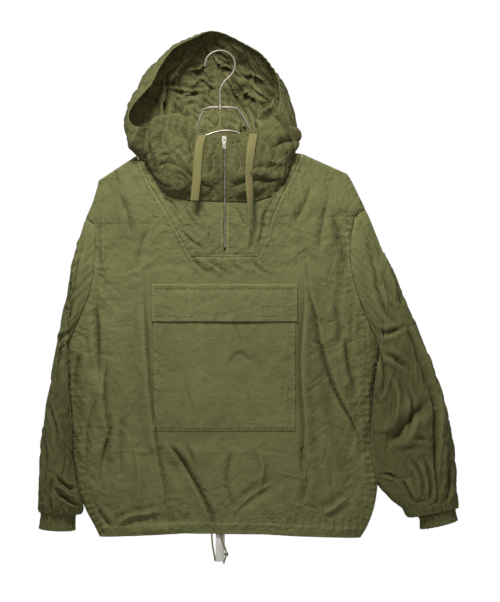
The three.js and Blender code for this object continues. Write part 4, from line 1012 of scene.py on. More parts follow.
# Hood and high collar: four loops from the rim to the neckline. turn runs from the zip over the left side
# and the top (0.5) to the right side and back to the zip.
hoodLoops = [
    [  # rim
        (0, 5, -46, -157), (0.05, -25, -46, -157), (0.09, -43, -44, -145), (0.13, -63, -41, -123),
        (0.17, -82, -38, -117), (0.22, -113, -36, -125), (0.26, -139, -36, -141), (0.29, -157, -31, -135),
        (0.32, -163, -22, -117), (0.36, -150, -12, -93), (0.4, -124, 0, -63), (0.435, -108, 10, -31),
        (0.46, -83, 18, 2), (0.485, -45, 24, 22), (0.5, -12, 26, 34), (0.53, 50, 22, 6), (0.56, 80, 17, -15),
        (0.6, 102, 8, -48), (0.66, 107, -5, -86), (0.72, 103, -16, -108), (0.78, 93, -26, -125),
        (0.85, 75, -36, -140), (0.92, 52, -43, -149), (1, 13, -46, -157),
    ],
    [  # widest part behind the rim
        (0, 5, -53, -190), (0.07, -40, -56, -192), (0.15, -85, -58, -186), (0.22, -124, -50, -176),
        (0.28, -160, -30, -166), (0.33, -171, 0, -122), (0.39, -157, 28, -62), (0.44, -116, 48, -4),
        (0.47, -70, 58, 26), (0.5, -22, 64, 34), (0.54, 42, 60, 12), (0.6, 114, 42, -52),
        (0.66, 134, 15, -108), (0.72, 139, -12, -152), (0.8, 114, -38, -180), (0.9, 60, -54, -190),
        (1, 13, -53, -190),
    ],
    [  # hanging back of the hood, and the collar above the neckline
        (0, 5, -50, -236), (0.07, -40, -55, -242), (0.15, -82, -52, -248), (0.22, -118, -38, -222),
        (0.28, -150, -12, -172), (0.33, -158, 30, -150), (0.39, -148, 72, -112), (0.44, -105, 98, -76),
        (0.5, -5, 115, -64), (0.56, 92, 98, -80), (0.61, 128, 72, -112), (0.67, 136, 30, -150),
        (0.72, 133, -10, -180), (0.8, 112, -38, -228), (0.9, 60, -50, -250), (1, 13, -50, -236),
    ],
]
shoulderTurn = 0.3    # turn at which the collar passes the shoulder
collarOut = 1.4
collarIn = 1.6


def necklinePoints(turn):
    share, lineX, lineZ = zip(*neckline)
    lift = 1.0
    left = turn <= 0.5
    toShoulder = np.where(left, turn, 1 - turn)
    part = np.clip(toShoulder / shoulderTurn, 0, 1)
    at = 0.5 + (np.where(left, 0.07, 0.93) - 0.5) * part
    x = straight(share, lineX, at)
    x = np.where(left, np.minimum(x + collarIn, zipX - 4), np.maximum(x - collarIn, zipX + 4))
    z = straight(share, lineZ, at) + lift
    out = collarOut * np.clip((shoulderTurn - toShoulder) / 0.04, 0, 1)
    y = -(bodyDepth(x, z, "front") + out)
    t = np.clip((toShoulder - shoulderTurn) / (0.5 - shoulderTurn), 0, 1)
    backX = np.where(left, neckCorner["left"][0] + collarIn, neckCorner["right"][0] - collarIn) * (1 - t)
    deep = bodyDepth(backX, np.full(t.shape, float(neckCorner["left"][1])), "back")
    backY = edgeHalf + (deep - edgeHalf) * np.sqrt(t)
    backZ = np.full(t.shape, neckCorner["left"][1] + 2 + lift)
    atBack = toShoulder > shoulderTurn
    return np.stack([np.where(atBack, backX, x), np.where(atBack, backY, y), np.where(atBack, backZ, z)], -1)


def centripetal(stops, share):
    # A smooth curve through the stops for each column; share runs from 0 to 1.
    count = len(stops)
    place = np.clip(share, 0, 1) * (count - 1)
    rows = []
    for value in place:
        i = min(int(value), count - 2)
        t = value - i
        p1, p2 = stops[i], stops[i + 1]
        p0 = stops[i - 1] if i > 0 else 2 * stops[0] - stops[1]
        p3 = stops[i + 2] if i + 2 < count else 2 * stops[-1] - stops[-2]
        d0, d1, d2 = (np.sqrt(np.linalg.norm(b - a, axis=-1, keepdims=True))
                      for a, b in ((p0, p1), (p1, p2), (p2, p3)))
        m1 = ((p1 - p0) / d0 - (p2 - p0) / (d0 + d1) + (p2 - p1) / d1) * d1
        m2 = ((p2 - p1) / d1 - (p3 - p1) / (d1 + d2) + (p3 - p2) / d2) * d1
        t2, t3 = t * t, t ** 3
        rows.append((2 * t3 - 3 * t2 + 1) * p1 + (t3 - 2 * t2 + t) * m1
                    + (3 * t2 - 2 * t3) * p2 + (t3 - t2) * m2)
    return np.stack(rows)


hoodLook = {"columns": 170, "rows": 84, "band": 15, "bandOut": 0.9, "lift": 6, "topRun": 446, "gain": 1.4,
            "backGain": 2.2, "collarGain": 1.0, "tuckGain": 1.2, "rimPucker": (1.6, 13, 13),
            "footPucker": (2.4, 15, 26), "topPucker": (0.8, 11, 9)}
# Run around the hood in millimetres at a few turns.
hoodRun = [(0, 0), (0.05, 32), (0.1, 59), (0.15, 85), (0.2, 115), (0.25, 152), (0.3, 195), (0.35, 241),
           (0.4, 291), (0.45, 358), (0.5, 446), (0.55, 534), (0.6, 595), (0.65, 641), (0.7, 684), (0.75, 720),
           (0.8, 751), (0.85, 778), (0.9, 804), (0.95, 827), (1, 851)]
# Creases of the hood laid out flat: the run around it from the zip, then the way down from the rim.
hoodCreases = [
    ("valley", 8, 2.8, [(196, 14), (205, 70), (194, 140)]),
    ("valley", 8, 2.4, [(237, 18), (243, 60), (232, 110)]),
    ("ridge", 9, 2.4, [(262, 10), (272, 60), (268, 120)]),
    ("valley", 7, 2.4, [(676, 20), (671, 80), (685, 150)]),
    ("valley", 7, 2.4, [(214, 170), (243, 220), (292, 262)]),
    ("valley", 7, 2.4, [(676, 180), (650, 226), (615, 266)]),
]
# Sharp creases of the hanging back, seen inside the hood.
hoodBackCreases = [
    ("step", -6, 9, [(355, 87), (350, 110), (340, 133), (329, 151), (316, 163)]),
    ("valley", 5, 5, [(358, 117), (384, 136), (404, 147), (422, 146)]),
    ("valley", 4, 4, [(375, 145), (390, 146), (413, 146)]),
    ("step", 5, 5, [(361, 144), (372, 169), (390, 188)]),
    ("valley", 5, 5, [(404, 166), (419, 177), (429, 187)]),
    ("valley", 5, 4, [(393, 106), (416, 105), (432, 95)]),
    ("step", 6, 8, [(435, 64), (450, 81), (465, 95), (484, 100)]),
    ("valley", 6, 8, [(472, 113), (481, 142), (487, 158)]),
    ("step", 5, 5, [(494, 105), (519, 94), (539, 83), (553, 78)]),
    ("valley", 5, 6, [(487, 156), (503, 132), (511, 135), (522, 145)]),
    ("valley", 5, 6, [(522, 151), (530, 163), (539, 144), (551, 120)]),
    ("valley", 6, 6, [(522, 183), (539, 199), (565, 191)]),
    ("step", 5, 6, [(551, 172), (563, 145), (565, 129)]),
    ("valley", 4, 4, [(381, 208), (372, 196), (355, 179)]),
    ("step", 5, 7, [(413, 203), (435, 215), (462, 204), (494, 212)]),
    ("valley", 4, 5, [(432, 249), (453, 227), (462, 215)]),
    ("valley", 4, 5, [(500, 242), (506, 221), (503, 199)]),
    ("valley", 5, 4, [(401, 131), (422, 125), (435, 139), (450, 137)]),
    ("valley", 6, 5, [(381, 87), (361, 98), (355, 113)]),
    ("ridge", 5, 5, [(367, 106), (367, 115), (369, 126)]),
    ("ridge", 6, 4, [(369, 160), (390, 165), (407, 173)]),
    ("ridge", 6, 5, [(508, 118), (522, 127), (539, 125)]),
    ("ridge", 6, 5, [(494, 168), (508, 179), (519, 195)]),
    ("ridge", 6, 4, [(447, 81), (462, 73), (487, 77)]),
    ("valley", 5, 4, [(348, 158), (348, 185), (353, 208)]),
    ("valley", 5, 4, [(438, 153), (444, 167), (459, 177)]),
    ("ridge", 5, 4, [(401, 188), (413, 198), (425, 192)]),
]
# Creases of the collar roll and of the hood's outside.
collarCreases = [
    ("step", 6, 4, [(280, 11), (295, 4)]),
    ("valley", 8, 9, [(148, 3), (141, 22), (133, 51), (126, 83)]),
    ("valley", 6, 6, [(110, 29), (108, 47), (101, 67)]),
    ("ridge", 8, 5, [(128, 20), (122, 43), (216, 119)]),
    ("valley", 5, 4, [(103, 81), (91, 77), (80, 76)]),
    ("valley", 5, 4, [(131, 109), (107, 131), (84, 138)]),
    ("step", 6, 5, [(82, 109), (64, 99), (49, 103)]),
    ("valley", 6, 4, [(113, 96), (92, 95), (72, 94)]),
    ("ridge", 7, 4, [(92, 63), (75, 74), (63, 80)]),
    ("valley", 6, 5, [(68, 16), (57, 28), (49, 50)]),
    ("valley", 5, 3, [(25, 4), (13, 11), (5, 26)]),
    ("valley", 5, 3, [(847, 3), (833, 16), (822, 16)]),
    ("valley", 10, 10, [(694, 71), (746, 46), (774, 44)]),
    ("ridge", 9, 5, [(791, 53), (776, 67), (752, 85)]),
    ("valley", 7, 4, [(795, 18), (782, 34), (780, 50)]),
    ("step", 7, 5, [(800, 82), (780, 98), (750, 109)]),
    ("valley", 7, 5, [(20, 30), (15, 51), (20, 69)]),
    ("valley", 7, 4, [(833, 35), (825, 55), (828, 73)]),
]
# Deep folds where the hood's side tucks in behind the collar.
hoodTucks = [
    ("valley", 15, 17, [(149, -20), (152, 30), (149, 95)]),
    ("ridge", 16, 3.5, [(123, -20), (119, 40), (112, 110)]),
    ("valley", 14, 17, [(722, -20), (718, 30), (722, 90)]),
    ("ridge", 14, 2, [(747, -20), (751, 40), (754, 100)]),
    ("valley", 12, 5, [(13, 96), (54, 90), (97, 104)]),
    ("valley", 12, 5, [(773, 98), (814, 92), (847, 96)]),
]
hoodCrumple = [
    {"count": 150, "turn": 0.1, "spread": 0.5, "length": (40, 130), "wide": (4, 10), "deep": (0.7, 2.6)},
    {"count": 150, "turn": 0.8, "spread": 1.0, "length": (25, 70), "wide": (3, 6), "deep": (0.4, 1.4)},
]
hoodFacets = [{"size": (48, 62), "turn": 0.5, "deep": 8}, {"size": (26, 34), "turn": -0.6, "deep": 4.2},
              {"size": (13, 17), "turn": 0.3, "deep": 1.5}]
backPleats = {"count": 7, "deep": 5}
hoodStitchLines = []
hoodGrooveLines = []
hoodBuckle = {"quality": 5, "stiff": 15, "bend": 0.05, "hold": 1.0, "grow": 0.06, "gravity": 0.2,
              "frames": 25, "form": 0.08}


def hoodPiece(name, first, last, seed):
    turnAt, runAt = zip(*hoodRun)
    girth = runAt[-1]
    run = np.linspace(straight(turnAt, runAt, first), straight(turnAt, runAt, last), hoodLook["columns"] + 1)
    turn = straight(runAt, turnAt, run)
    turn[0], turn[-1] = first, last
    share = np.linspace(0, 1, hoodLook["rows"] + 1)
    stops = []
    for loop in hoodLoops:
        table = np.array(loop, float)
        stops.append(smooth(table[:, 0], table[:, 1:], turn))
    stops.append(necklinePoints(turn))
    points = centripetal(stops, share)
    # The two front edges nearly meet over the zip.
    edgeTurn = np.minimum(turn, 1 - turn)
    points[..., 0] += np.where(turn < 0.5, 1.3, -1.3)[None] * (1 - smoothstep(edgeTurn / 0.02))[None]
    behind = np.clip((turn - 0.36) / 0.06, 0, 1) * np.clip((0.66 - turn) / 0.06, 0, 1)
    pleat = np.sin(turn * backPleats["count"] * 2 * np.pi)[None] * np.sin(np.pi * share)[:, None]
    points[..., 1] += backPleats["deep"] * pleat * behind[None]
    # The top stands up a little behind the rim.
    atTop = np.exp(-((turn - 0.5) / 0.12) ** 2)[None]
    points[..., 2] += hoodLook["lift"] * atTop * (1 - smoothstep(share / 0.35))[:, None]
    normal = normalsOf(points)
    if (normal[..., 1] * np.sign(points[..., 1])).sum() < 0:
        normal = -normal
    u = np.broadcast_to(run, points.shape[:2])
    step = np.linalg.norm(np.diff(points, axis=0), axis=2)
    v = np.concatenate([np.zeros((1, step.shape[1])), np.cumsum(step, 0)])
    down = v[-1] - v
    side = np.minimum(u, girth - u)
    top = np.abs(u - hoodLook["topRun"])
    fade = smoothstep(down / 12) * smoothstep(side / 10) * smoothstep(top / 12)
    inBand = 1 - smoothstep((v - hoodLook["band"] + 1) / 2)
    inside = smoothstep((side - 235) / 50)
    deepIn = inside * smoothstep((v - 55) / 35)
    height = hoodLook["gain"] * creaseHeight(u, v, hoodCreases) * (1 - 0.6 * inBand)
    height += hoodLook["backGain"] * creaseHeight(u, v, hoodBackCreases) * smoothstep((v - 40) / 25)
    height += (hoodLook["collarGain"] * creaseHeight(u, v, collarCreases)
               + hoodLook["tuckGain"] * creaseHeight(u, v, hoodTucks))
    loose = crumple(u, v, hoodCrumple[0], seed) + crumple(u, v, hoodCrumple[1], seed + 1)
    collar = 1 - smoothstep((side - 105) / 40)
    height += (0.35 + 0.5 * deepIn) * loose * (1 - 0.5 * inBand)
    strength = (0.8 * deepIn + 0.4 * collar + 0.25) * (1 - 0.8 * inBand)
    for n, recipe in enumerate(hoodFacets):
        height += strength * facets(u, v, recipe, 103 + n)
    height *= fade
    gap = np.abs(v - hoodLook["band"])
    height += (pucker(gap, u, *hoodLook["rimPucker"], seed + 2) - 0.7 * np.exp(-(gap / 1.4) ** 2)) * fade
    height += hoodLook["bandOut"] * inBand * fade
    height += pucker(down, u, *hoodLook["footPucker"], seed + 3) * smoothstep(down / 3)
    height += pucker(top, v, *hoodLook["topPucker"], seed + 4) * smoothstep(top / 3) * fade
    points = points + normal * height[..., None]
    worn = (np.exp(-(gap / 2.4) ** 2) + np.exp(-(v / 2.4) ** 2)
            + np.exp(-(down / 3) ** 2) + np.exp(-(top / 3) ** 2))
    # Stitches run along the rim, and two more rows along the sides of the rim's channel.
    rim = []
    for at in (2.5, hoodLook["band"] - 1.2, hoodLook["band"] + 1.2):
        nearRow = np.argmin(np.abs(v - at), axis=0)
        rim.append(points[nearRow, np.arange(len(nearRow))] + 0.35 * normal[0])
    hoodStitchLines.append(rim[0])
    # The two rows along the channel become flat dark strips of painted shadow.
    hoodGrooveLines.extend(rim[1:])
    # Painted shade on the hood: strongest near the zip, weaker deep inside.
    nearZip = 1 - smoothstep((side - 20) / 190)
    dyeAndShade = 0.7 + 0.2 * nearZip - 0.65 * deepIn
    held = np.maximum(1 - smoothstep((v - hoodLook["band"]) / 12), 1 - smoothstep((down - 6) / 14))
    held = np.maximum(held, 1 - smoothstep((side - 6) / 14))
    held = np.maximum(held, 1 - smoothstep((top - 4) / 10))
    for _, _, _, tuck in hoodTucks:
        gap, _, _, _ = nearest(u, v, splined(tuck, 12))
        held = np.maximum(held, 0.7 * np.exp(-(gap / 9) ** 2))
    marks = {"worn": np.clip(worn, 0, 1), "crush": 0.8 + 0.2 * inside, "dyeAndShade": dyeAndShade, "pins": held}
    piece = gridPiece(name, points, np.stack([u, -v], -1), flip=True, marks=marks)
    return buckle(piece, hoodBuckle)


hoodLeft = hoodPiece("hoodLeft", 0, 0.5006, 101)
hoodRight = hoodPiece("hoodRight", 0.4994, 1, 131)
print("hood")


# Zip: tape, the line of teeth, the drawstring tapes, hem cords and the sewn label. The front edge of the
# body and collar at the zip: height and depth.
frontLine = [(-372, -39.4), (-350, -38.7), (-310, -37.4), (-290, -36.1), (-274, -35.3), (-272.5, -36.5),
             (-255, -43.9), (-236, -50), (-221, -52.3), (-200, -53.3), (-184, -52.3), (-168, -48.7),
             (-157, -46)]


def zipFront(z):
    heights, depths = zip(*frontLine)
    return straight(heights, depths, z)


def strip(name, rows, width, counts, bow=0.0, ripple=0.0):
    # rows are (x, y, z, turn) along the middle of the outer face.
    rows = smooth(np.arange(len(rows)), np.array(rows, float), np.linspace(0, len(rows) - 1, counts[0] + 1))
    across = np.linspace(-0.5, 0.5, counts[1] + 1)[None]
    side = np.stack([np.cos(rows[:, 3]), np.sin(rows[:, 3]), 0 * rows[:, 3]], -1)
    out = np.stack([np.sin(rows[:, 3]), -np.cos(rows[:, 3]), 0 * rows[:, 3]], -1)
    run = np.concatenate([[0], np.cumsum(np.linalg.norm(np.diff(rows[:, :3], axis=0), axis=1))])
    points = rows[:, None, :3] + side[:, None] * across[..., None] * width
    lift = bow * (1 - (2 * across) ** 2) + ripple * np.sin(run[:, None] / 13 + across * 2.4)
    points = points + out[:, None] * lift[..., None]
    uv = np.stack([across * width + 0 * run[:, None], run[:, None] + 0 * across], -1)
    upward = rows[0, 2] < rows[-1, 2]
    worn = np.exp(-((0.5 - np.abs(across)) * width / 1.2) ** 2) + 0 * run[:, None]
    piece = gridPiece(name, points, uv, flip=upward, marks={"worn": worn})
    return piece, run[-1], rows


zipRows = [(zipX, float(zipFront(z)) + 3.2, z, 0) for z in np.linspace(-358, -159, 41)]
zipTape, _, _ = strip("zipTape", zipRows, 12, (120, 6))

drawLeft = [(-31.5, -51.2, -157, 0), (-33, -53.3, -163, 0), (-35, -55.7, -171, 0), (-37, -57.9, -181, 0),
            (-38, -60, -193, 0), (-39, -61.1, -207, 0), (-40, -61.5, -223, 0), (-41, -61.5, -240, 0.05),
            (-43, -61.3, -257, 0.12), (-45, -61, -274, 0.2)]
drawRight = [(60, -48.9, -154, 0), (59.5, -50.8, -160, 0), (58, -53.5, -168, 0), (56, -58.4, -180, 0.1),
             (54, -62.4, -198, 0.3), (52.5, -63.6, -216, 0.5), (52, -62.2, -236, 0.6), (53, -62, -254, 0.6),
             (54, -61.4, -272, 0.75), (55, -60.4, -290, 0.95), (56, -59, -308, 1.1)]
tapeWidth = 14.6
tapeLeft, tapeLeftLength, tapeLeftRows = strip("drawstringLeft", drawLeft, tapeWidth, (90, 12), 0.7, 0.35)
tapeRight, tapeRightLength, tapeRightRows = strip("drawstringRight", drawRight, tapeWidth, (110, 12),
                                                  0.7, 0.35)

labelRows = [(1, -47, -860, 0), (1, -47, -870, 0), (1, -46.8, -880, 0.02), (0.8, -46.5, -892, 0.05),
             (0.5, -46.4, -904, 0.1), (0, -45.6, -917, 0.15)]
sewnLabel, _, _ = strip("sewnLabel", labelRows, 16, (60, 12), 0.5, 0.3)


# Round braided cord along a smooth line.
def roundCord(name, stops, radius, steps, sides=14):
    line = smooth(np.arange(len(stops)), np.array(stops, float), np.linspace(0, len(stops) - 1, steps + 1))
    along = np.gradient(line, axis=0)
    along /= np.linalg.norm(along, axis=1, keepdims=True)
    one = np.cross(along, [0, 1, 0])
    one /= np.linalg.norm(one, axis=1, keepdims=True)
    two = np.cross(along, one)
    angle = np.linspace(0, 2 * np.pi, sides, endpoint=False)
    run = np.concatenate([[0], np.cumsum(np.linalg.norm(np.diff(line, axis=0), axis=1))])
    thick = radius * (1 - 0.05 + 0.05 * np.cos(6 * angle[None] + run[:, None] * 1.1))
    points = line[:, None] + thick[..., None] * (one[:, None] * np.cos(angle)[None, :, None]
                                                 + two[:, None] * np.sin(angle)[None, :, None])
    mesh = bpy.data.meshes.new(name)
    count = len(line)
    faces = [[i * sides + j, i * sides + (j + 1) % sides,
              (i + 1) * sides + (j + 1) % sides, (i + 1) * sides + j]
             for i in range(count - 1) for j in range(sides)]
    faces += [list(range(sides))[::-1], [(count - 1) * sides + j for j in range(sides)]]
    mesh.from_pydata((points.reshape(-1, 3) * mm).tolist(), [], faces)
    layer = mesh.uv_layers.new(name="cut")
    place = np.zeros((len(mesh.loops), 2))
    vertex = np.array([loop.vertex_index for loop in mesh.loops])
    place[:, 0] = (vertex % sides) / sides
    place[:, 1] = run[vertex // sides] * mm
    layer.data.foreach_set("uv", place.reshape(-1))
    mesh.polygons.foreach_set("use_smooth", [True] * len(mesh.polygons))
    return linked(name, mesh), run[-1], line


cordRadius = 1.6
knottedStops = [(1, -50.3, -867.4), (3, -50.4, -873), (5, -50.5, -880), (7.5, -50.5, -887), (10, -50.5, -894),
                (12, -50.5, -899.4)]
tailStops = [(11.5, -50.5, -907.1), (9.5, -50.5, -911), (8, -50.5, -916), (7, -50.5, -920)]
plainStops = [(-14, -48.8, -867.2), (-14, -49.6, -873), (-13.5, -50.5, -881), (-12.5, -50.5, -889),
              (-11, -50.5, -898), (-9.5, -50.5, -906), (-8, -50.5, -915)]
hemKnotted, hemKnottedLength, hemKnottedLine = roundCord("hemCordWithKnot", knottedStops, cordRadius, 40)
hemTail, _, _ = roundCord("hemCordTail", tailStops, cordRadius, 20)
hemPlain, hemPlainLength, hemPlainLine = roundCord("hemCordPlain", plainStops, cordRadius, 50)
# The knot is one turn of the cord drawn tight.
turns = np.linspace(0, 2.2 * 2 * np.pi, 60)
knotStops = np.stack([12 + 2.0 * np.cos(turns), -50.5 - 1.5 * np.sin(turns),
                      -903.3 - 2.0 * np.cos(turns * 1.23)], -1)
hemKnot, _, _ = roundCord("hemCordKnot", knotStops, 1.5, 140)
print("zip, tapes and cords")


# Stitches and zip teeth: a small piece set along lines of points by Geometry Nodes.
def addNode(tree, kind, settings=None, **inputs):
    node = tree.nodes.new(kind)
    for key, value in (settings or {}).items():
        setattr(node, key, value)
    for key, value in inputs.items():
        number = int(key[1:])
        if isinstance(value, bpy.types.NodeSocket):
            tree.links.new(value, node.inputs[number])
        else:
            node.inputs[number].default_value = value
    return node


def mathNode(tree, operation, a, b):
    return addNode(tree, "ShaderNodeMath", {"operation": operation}, i0=a, i1=b).outputs[0]


def lineMesh(name, lines):
    mesh = bpy.data.meshes.new(name)
    points, edges = [], []
    for line in lines:
        start = len(points)
        points += [tuple(p * mm) for p in np.asarray(line, float)]
        edges += [(start + n, start + n + 1) for n in range(len(line) - 1)]
    mesh.from_pydata(points, edges, [])
    return linked(name, mesh)


def spreadTree(name, material):
    tree = bpy.data.node_groups.new(name, "GeometryNodeTree")
    tree.interface.new_socket("Lines", in_out="INPUT", socket_type="NodeSocketGeometry")
    for label in ("Pitch", "Length", "Width", "Height", "Aside"):
        tree.interface.new_socket(label, in_out="INPUT", socket_type="NodeSocketFloat")
    tree.interface.new_socket("Pieces", in_out="OUTPUT", socket_type="NodeSocketGeometry")
    given = tree.nodes.new("NodeGroupInput").outputs
    curve = addNode(tree, "GeometryNodeMeshToCurve", i0=given["Lines"])
    even = addNode(tree, "GeometryNodeResampleCurve", {"mode": "LENGTH"}, i0=curve.outputs[0])
    tree.links.new(given["Pitch"], even.inputs["Length"])
    tangent = addNode(tree, "GeometryNodeInputTangent")
    number = addNode(tree, "GeometryNodeInputIndex")
    odd = mathNode(tree, "MODULO", number.outputs[0], 2.0)
    sideways = mathNode(tree, "SUBTRACT", mathNode(tree, "MULTIPLY", odd, 2.0), 1.0)
    shift = mathNode(tree, "MULTIPLY", sideways, given["Aside"])
    offset = addNode(tree, "ShaderNodeCombineXYZ", i0=shift)
    placed = addNode(tree, "GeometryNodeSetPosition", i0=even.outputs[0])
    tree.links.new(offset.outputs[0], placed.inputs["Offset"])
    ball = addNode(tree, "GeometryNodeMeshUVSphere", i0=6, i1=4, i2=0.5)
    turn = addNode(tree, "FunctionNodeAlignRotationToVector", {"axis": "X"}, i2=tangent.outputs[0])
    spread = addNode(tree, "FunctionNodeRandomValue", {"data_type": "FLOAT"})
    floats = [s for s in spread.inputs if s.type == "VALUE"]
    floats[0].default_value = 0.82
    floats[1].default_value = 1.12
    spread.inputs["Seed"].default_value = 5
    size = addNode(tree, "ShaderNodeCombineXYZ", i0=given["Length"], i1=given["Width"], i2=given["Height"])
    grown = addNode(tree, "ShaderNodeVectorMath", {"operation": "SCALE"}, i0=size.outputs[0])
    tree.links.new([s for s in spread.outputs if s.type == "VALUE"][0], grown.inputs["Scale"])
    put = addNode(tree, "GeometryNodeInstanceOnPoints", i0=placed.outputs[0])
    tree.links.new(ball.outputs[0], put.inputs["Instance"])
    tree.links.new(turn.outputs[0], put.inputs["Rotation"])
    tree.links.new(grown.outputs[0], put.inputs["Scale"])
    real = addNode(tree, "GeometryNodeRealizeInstances", i0=put.outputs[0])
    smoothed = addNode(tree, "GeometryNodeSetShadeSmooth", i0=real.outputs[0])
    dressed = addNode(tree, "GeometryNodeSetMaterial", i0=smoothed.outputs[0])
    dressed.inputs["Material"].default_value = material
    out = tree.nodes.new("NodeGroupOutput")
    tree.links.new(dressed.outputs[0], out.inputs[0])
    return tree


def spreadAlong(name, lines, tree, values):
    piece = lineMesh(name, lines)
    modifier = piece.modifiers.new("spread", "NODES")
    modifier.node_group = tree
    for item in tree.interface.items_tree:
        if item.in_out == "INPUT" and item.name in values:
            modifier[item.identifier] = float(values[item.name])
    bpy.context.view_layer.update()
    seen = piece.evaluated_get(bpy.context.evaluated_depsgraph_get())
    mesh = bpy.data.meshes.new_from_object(seen)
    piece.modifiers.clear()
    piece.data = mesh
    print(name, len(mesh.polygons), "faces")
    return piece


# Materials.
def linear(code, alpha=1.0):
    parts = [int(code[n:n + 2], 16) / 255 for n in (1, 3, 5)]
    return tuple(v / 12.92 if v <= 0.04045 else ((v + 0.055) / 1.055) ** 2.4 for v in parts) + (alpha,)


def surface(name, roughness, metallic=0.0, sheen=0.0):
    material = bpy.data.materials.new(name)
    material.use_nodes = True
    tree = material.node_tree
    shader = tree.nodes["Principled BSDF"]
    shader.inputs["Roughness"].default_value = roughness
    shader.inputs["Metallic"].default_value = metallic
    shader.inputs["Sheen Weight"].default_value = sheen
    shader.inputs["Sheen Roughness"].default_value = 0.6
    shader.inputs["Specular IOR Level"].default_value = 0.5 if metallic else 0.25
    return material, tree, shader


def noise(tree, vector, scale, detail=4, rough=0.55):
    node = addNode(tree, "ShaderNodeTexNoise", i0=vector)
    node.inputs["Scale"].default_value = scale
    node.inputs["Detail"].default_value = detail
    node.inputs["Roughness"].default_value = rough
    return node.outputs["Fac"]


def stretched(tree, vector, x, y, z):
    return addNode(tree, "ShaderNodeMapping", i0=vector, i3=(x, y, z)).outputs[0]


def blended(tree, fac, first, second):
    node = tree.nodes.new("ShaderNodeMix")
    node.data_type = "RGBA"
    for socket, value in ((node.inputs[0], fac), (node.inputs[6], first), (node.inputs[7], second)):
        if isinstance(value, bpy.types.NodeSocket):
            tree.links.new(value, socket)
        else:
            socket.default_value = value
    return node.outputs[2]


def ranged(tree, value, low, high, toLow=0.0, toHigh=1.0):
    return addNode(tree, "ShaderNodeMapRange", i0=value, i1=low, i2=high, i3=toLow, i4=toHigh).outputs[0]


# Garment-dyed cotton plain weave: matt olive, paler where seams have rubbed, with slubs that run both ways
# and a crinkle of sharp small creases that gives washed cloth its broken light. It also carries painted shade
# in its hollows and on the hood, sleeves and cuffs.
cottonLook = {"base": "#6e7044", "deep": "#5d6039", "pale": "#808054", "worn": "#96945f",
              "hollowShade": "#433c20", "kept": "#464423", "sheenTint": "#b9b78c",
              "rough": 0.9, "sheen": 0.1, "slub": 0.3, "weave": 0.3, "crinkle": 1.0}


def ridged(tree, vector, scale, detail=2):
    # Sharp crests where the noise crosses its middle.
    value = noise(tree, vector, scale, detail, 0.45)
    away = mathNode(tree, "ABSOLUTE", mathNode(tree, "SUBTRACT", value, 0.5), 0.0)
    return ranged(tree, away, 0.0, 0.16, 1.0, 0.0)


def bumped(tree, height, strength, distance, before=None):
    bump = addNode(tree, "ShaderNodeBump")
    if isinstance(strength, bpy.types.NodeSocket):
        tree.links.new(strength, bump.inputs["Strength"])
    else:
        bump.inputs["Strength"].default_value = strength
    bump.inputs["Distance"].default_value = distance
    tree.links.new(height, bump.inputs["Height"])
    if before:
        tree.links.new(before, bump.inputs["Normal"])
    return bump.outputs[0]


def attribute(tree, name):
    node = tree.nodes.new("ShaderNodeAttribute")
    node.attribute_name = name
    return node.outputs["Fac"]


def cottonCloth():
    look = cottonLook
    material, tree, shader = surface("Garment-dyed cotton plain weave", look["rough"], sheen=look["sheen"])
    cut = tree.nodes.new("ShaderNodeUVMap")
    cut.uv_map = "cut"
    flat = cut.outputs[0]
    place = tree.nodes.new("ShaderNodeTexCoord").outputs["Object"]
    dyeAndShade = ranged(tree, noise(tree, place, 7, 4, 0.55), 0.3, 0.7)
    patches = ranged(tree, noise(tree, flat, 40, 4, 0.6), 0.4, 0.66)
    warp = ranged(tree, noise(tree, stretched(tree, flat, 1500, 60, 1), 1.0, 3), 0.4, 0.72)
    weft = ranged(tree, noise(tree, stretched(tree, flat, 70, 1500, 1), 1.0, 3), 0.4, 0.72)
    slub = mathNode(tree, "MULTIPLY", mathNode(tree, "ADD", warp, weft), 0.5)
    color = blended(tree, dyeAndShade, linear(look["deep"]), linear(look["base"]))
    color = blended(tree, mathNode(tree, "MULTIPLY", patches, 0.25), color, linear(look["pale"]))
    color = blended(tree, mathNode(tree, "MULTIPLY", slub, look["slub"]), color, linear(look["pale"]))
    rubbing = ranged(tree, noise(tree, flat, 240, 4, 0.7), 0.38, 0.62)
    rubbed = mathNode(tree, "MULTIPLY", attribute(tree, "worn"), rubbing)
    color = blended(tree, mathNode(tree, "MULTIPLY", rubbed, 0.6), color, linear(look["worn"]))
    # Painted shade: the hood, sleeves and cuffs are darkened, the sleeves more towards the cuffs and the hood
    # more near the zip and less deep inside.
    kept = mathNode(tree, "MULTIPLY", attribute(tree, "dyeAndShade"), 0.62)
    color = blended(tree, kept, color, linear(look["kept"]))
    # Painted shade darkens the hollows; the crests are made paler, partly as rubbed wear and partly as
    # painted highlight.
    crest = attribute(tree, "crest")
    color = blended(tree, ranged(tree, crest, 0.46, 0.0, 0.0, 0.75), color, linear(look["hollowShade"]))
    color = blended(tree, ranged(tree, crest, 0.56, 1.0, 0.0, 0.3), color, linear(look["pale"]))
    tree.links.new(color, shader.inputs["Base Color"])
    shader.inputs["Sheen Tint"].default_value = linear(look["sheenTint"])
    crush = mathNode(tree, "MULTIPLY", attribute(tree, "crush"), look["crinkle"])
    long = ridged(tree, stretched(tree, flat, 26, 15, 1), 1.0)
    short = ridged(tree, stretched(tree, flat, 62, 74, 1), 1.0)
    rolled = noise(tree, stretched(tree, flat, 46, 30, 1), 1.0, 2, 0.5)
    normal = bumped(tree, slub, look["weave"], 0.0004)
    normal = bumped(tree, rolled, crush, 0.006, normal)
    normal = bumped(tree, short, crush, 0.0011, normal)
    normal = bumped(tree, long, crush, 0.0022, normal)
    tree.links.new(normal, shader.inputs["Normal"])
    return material


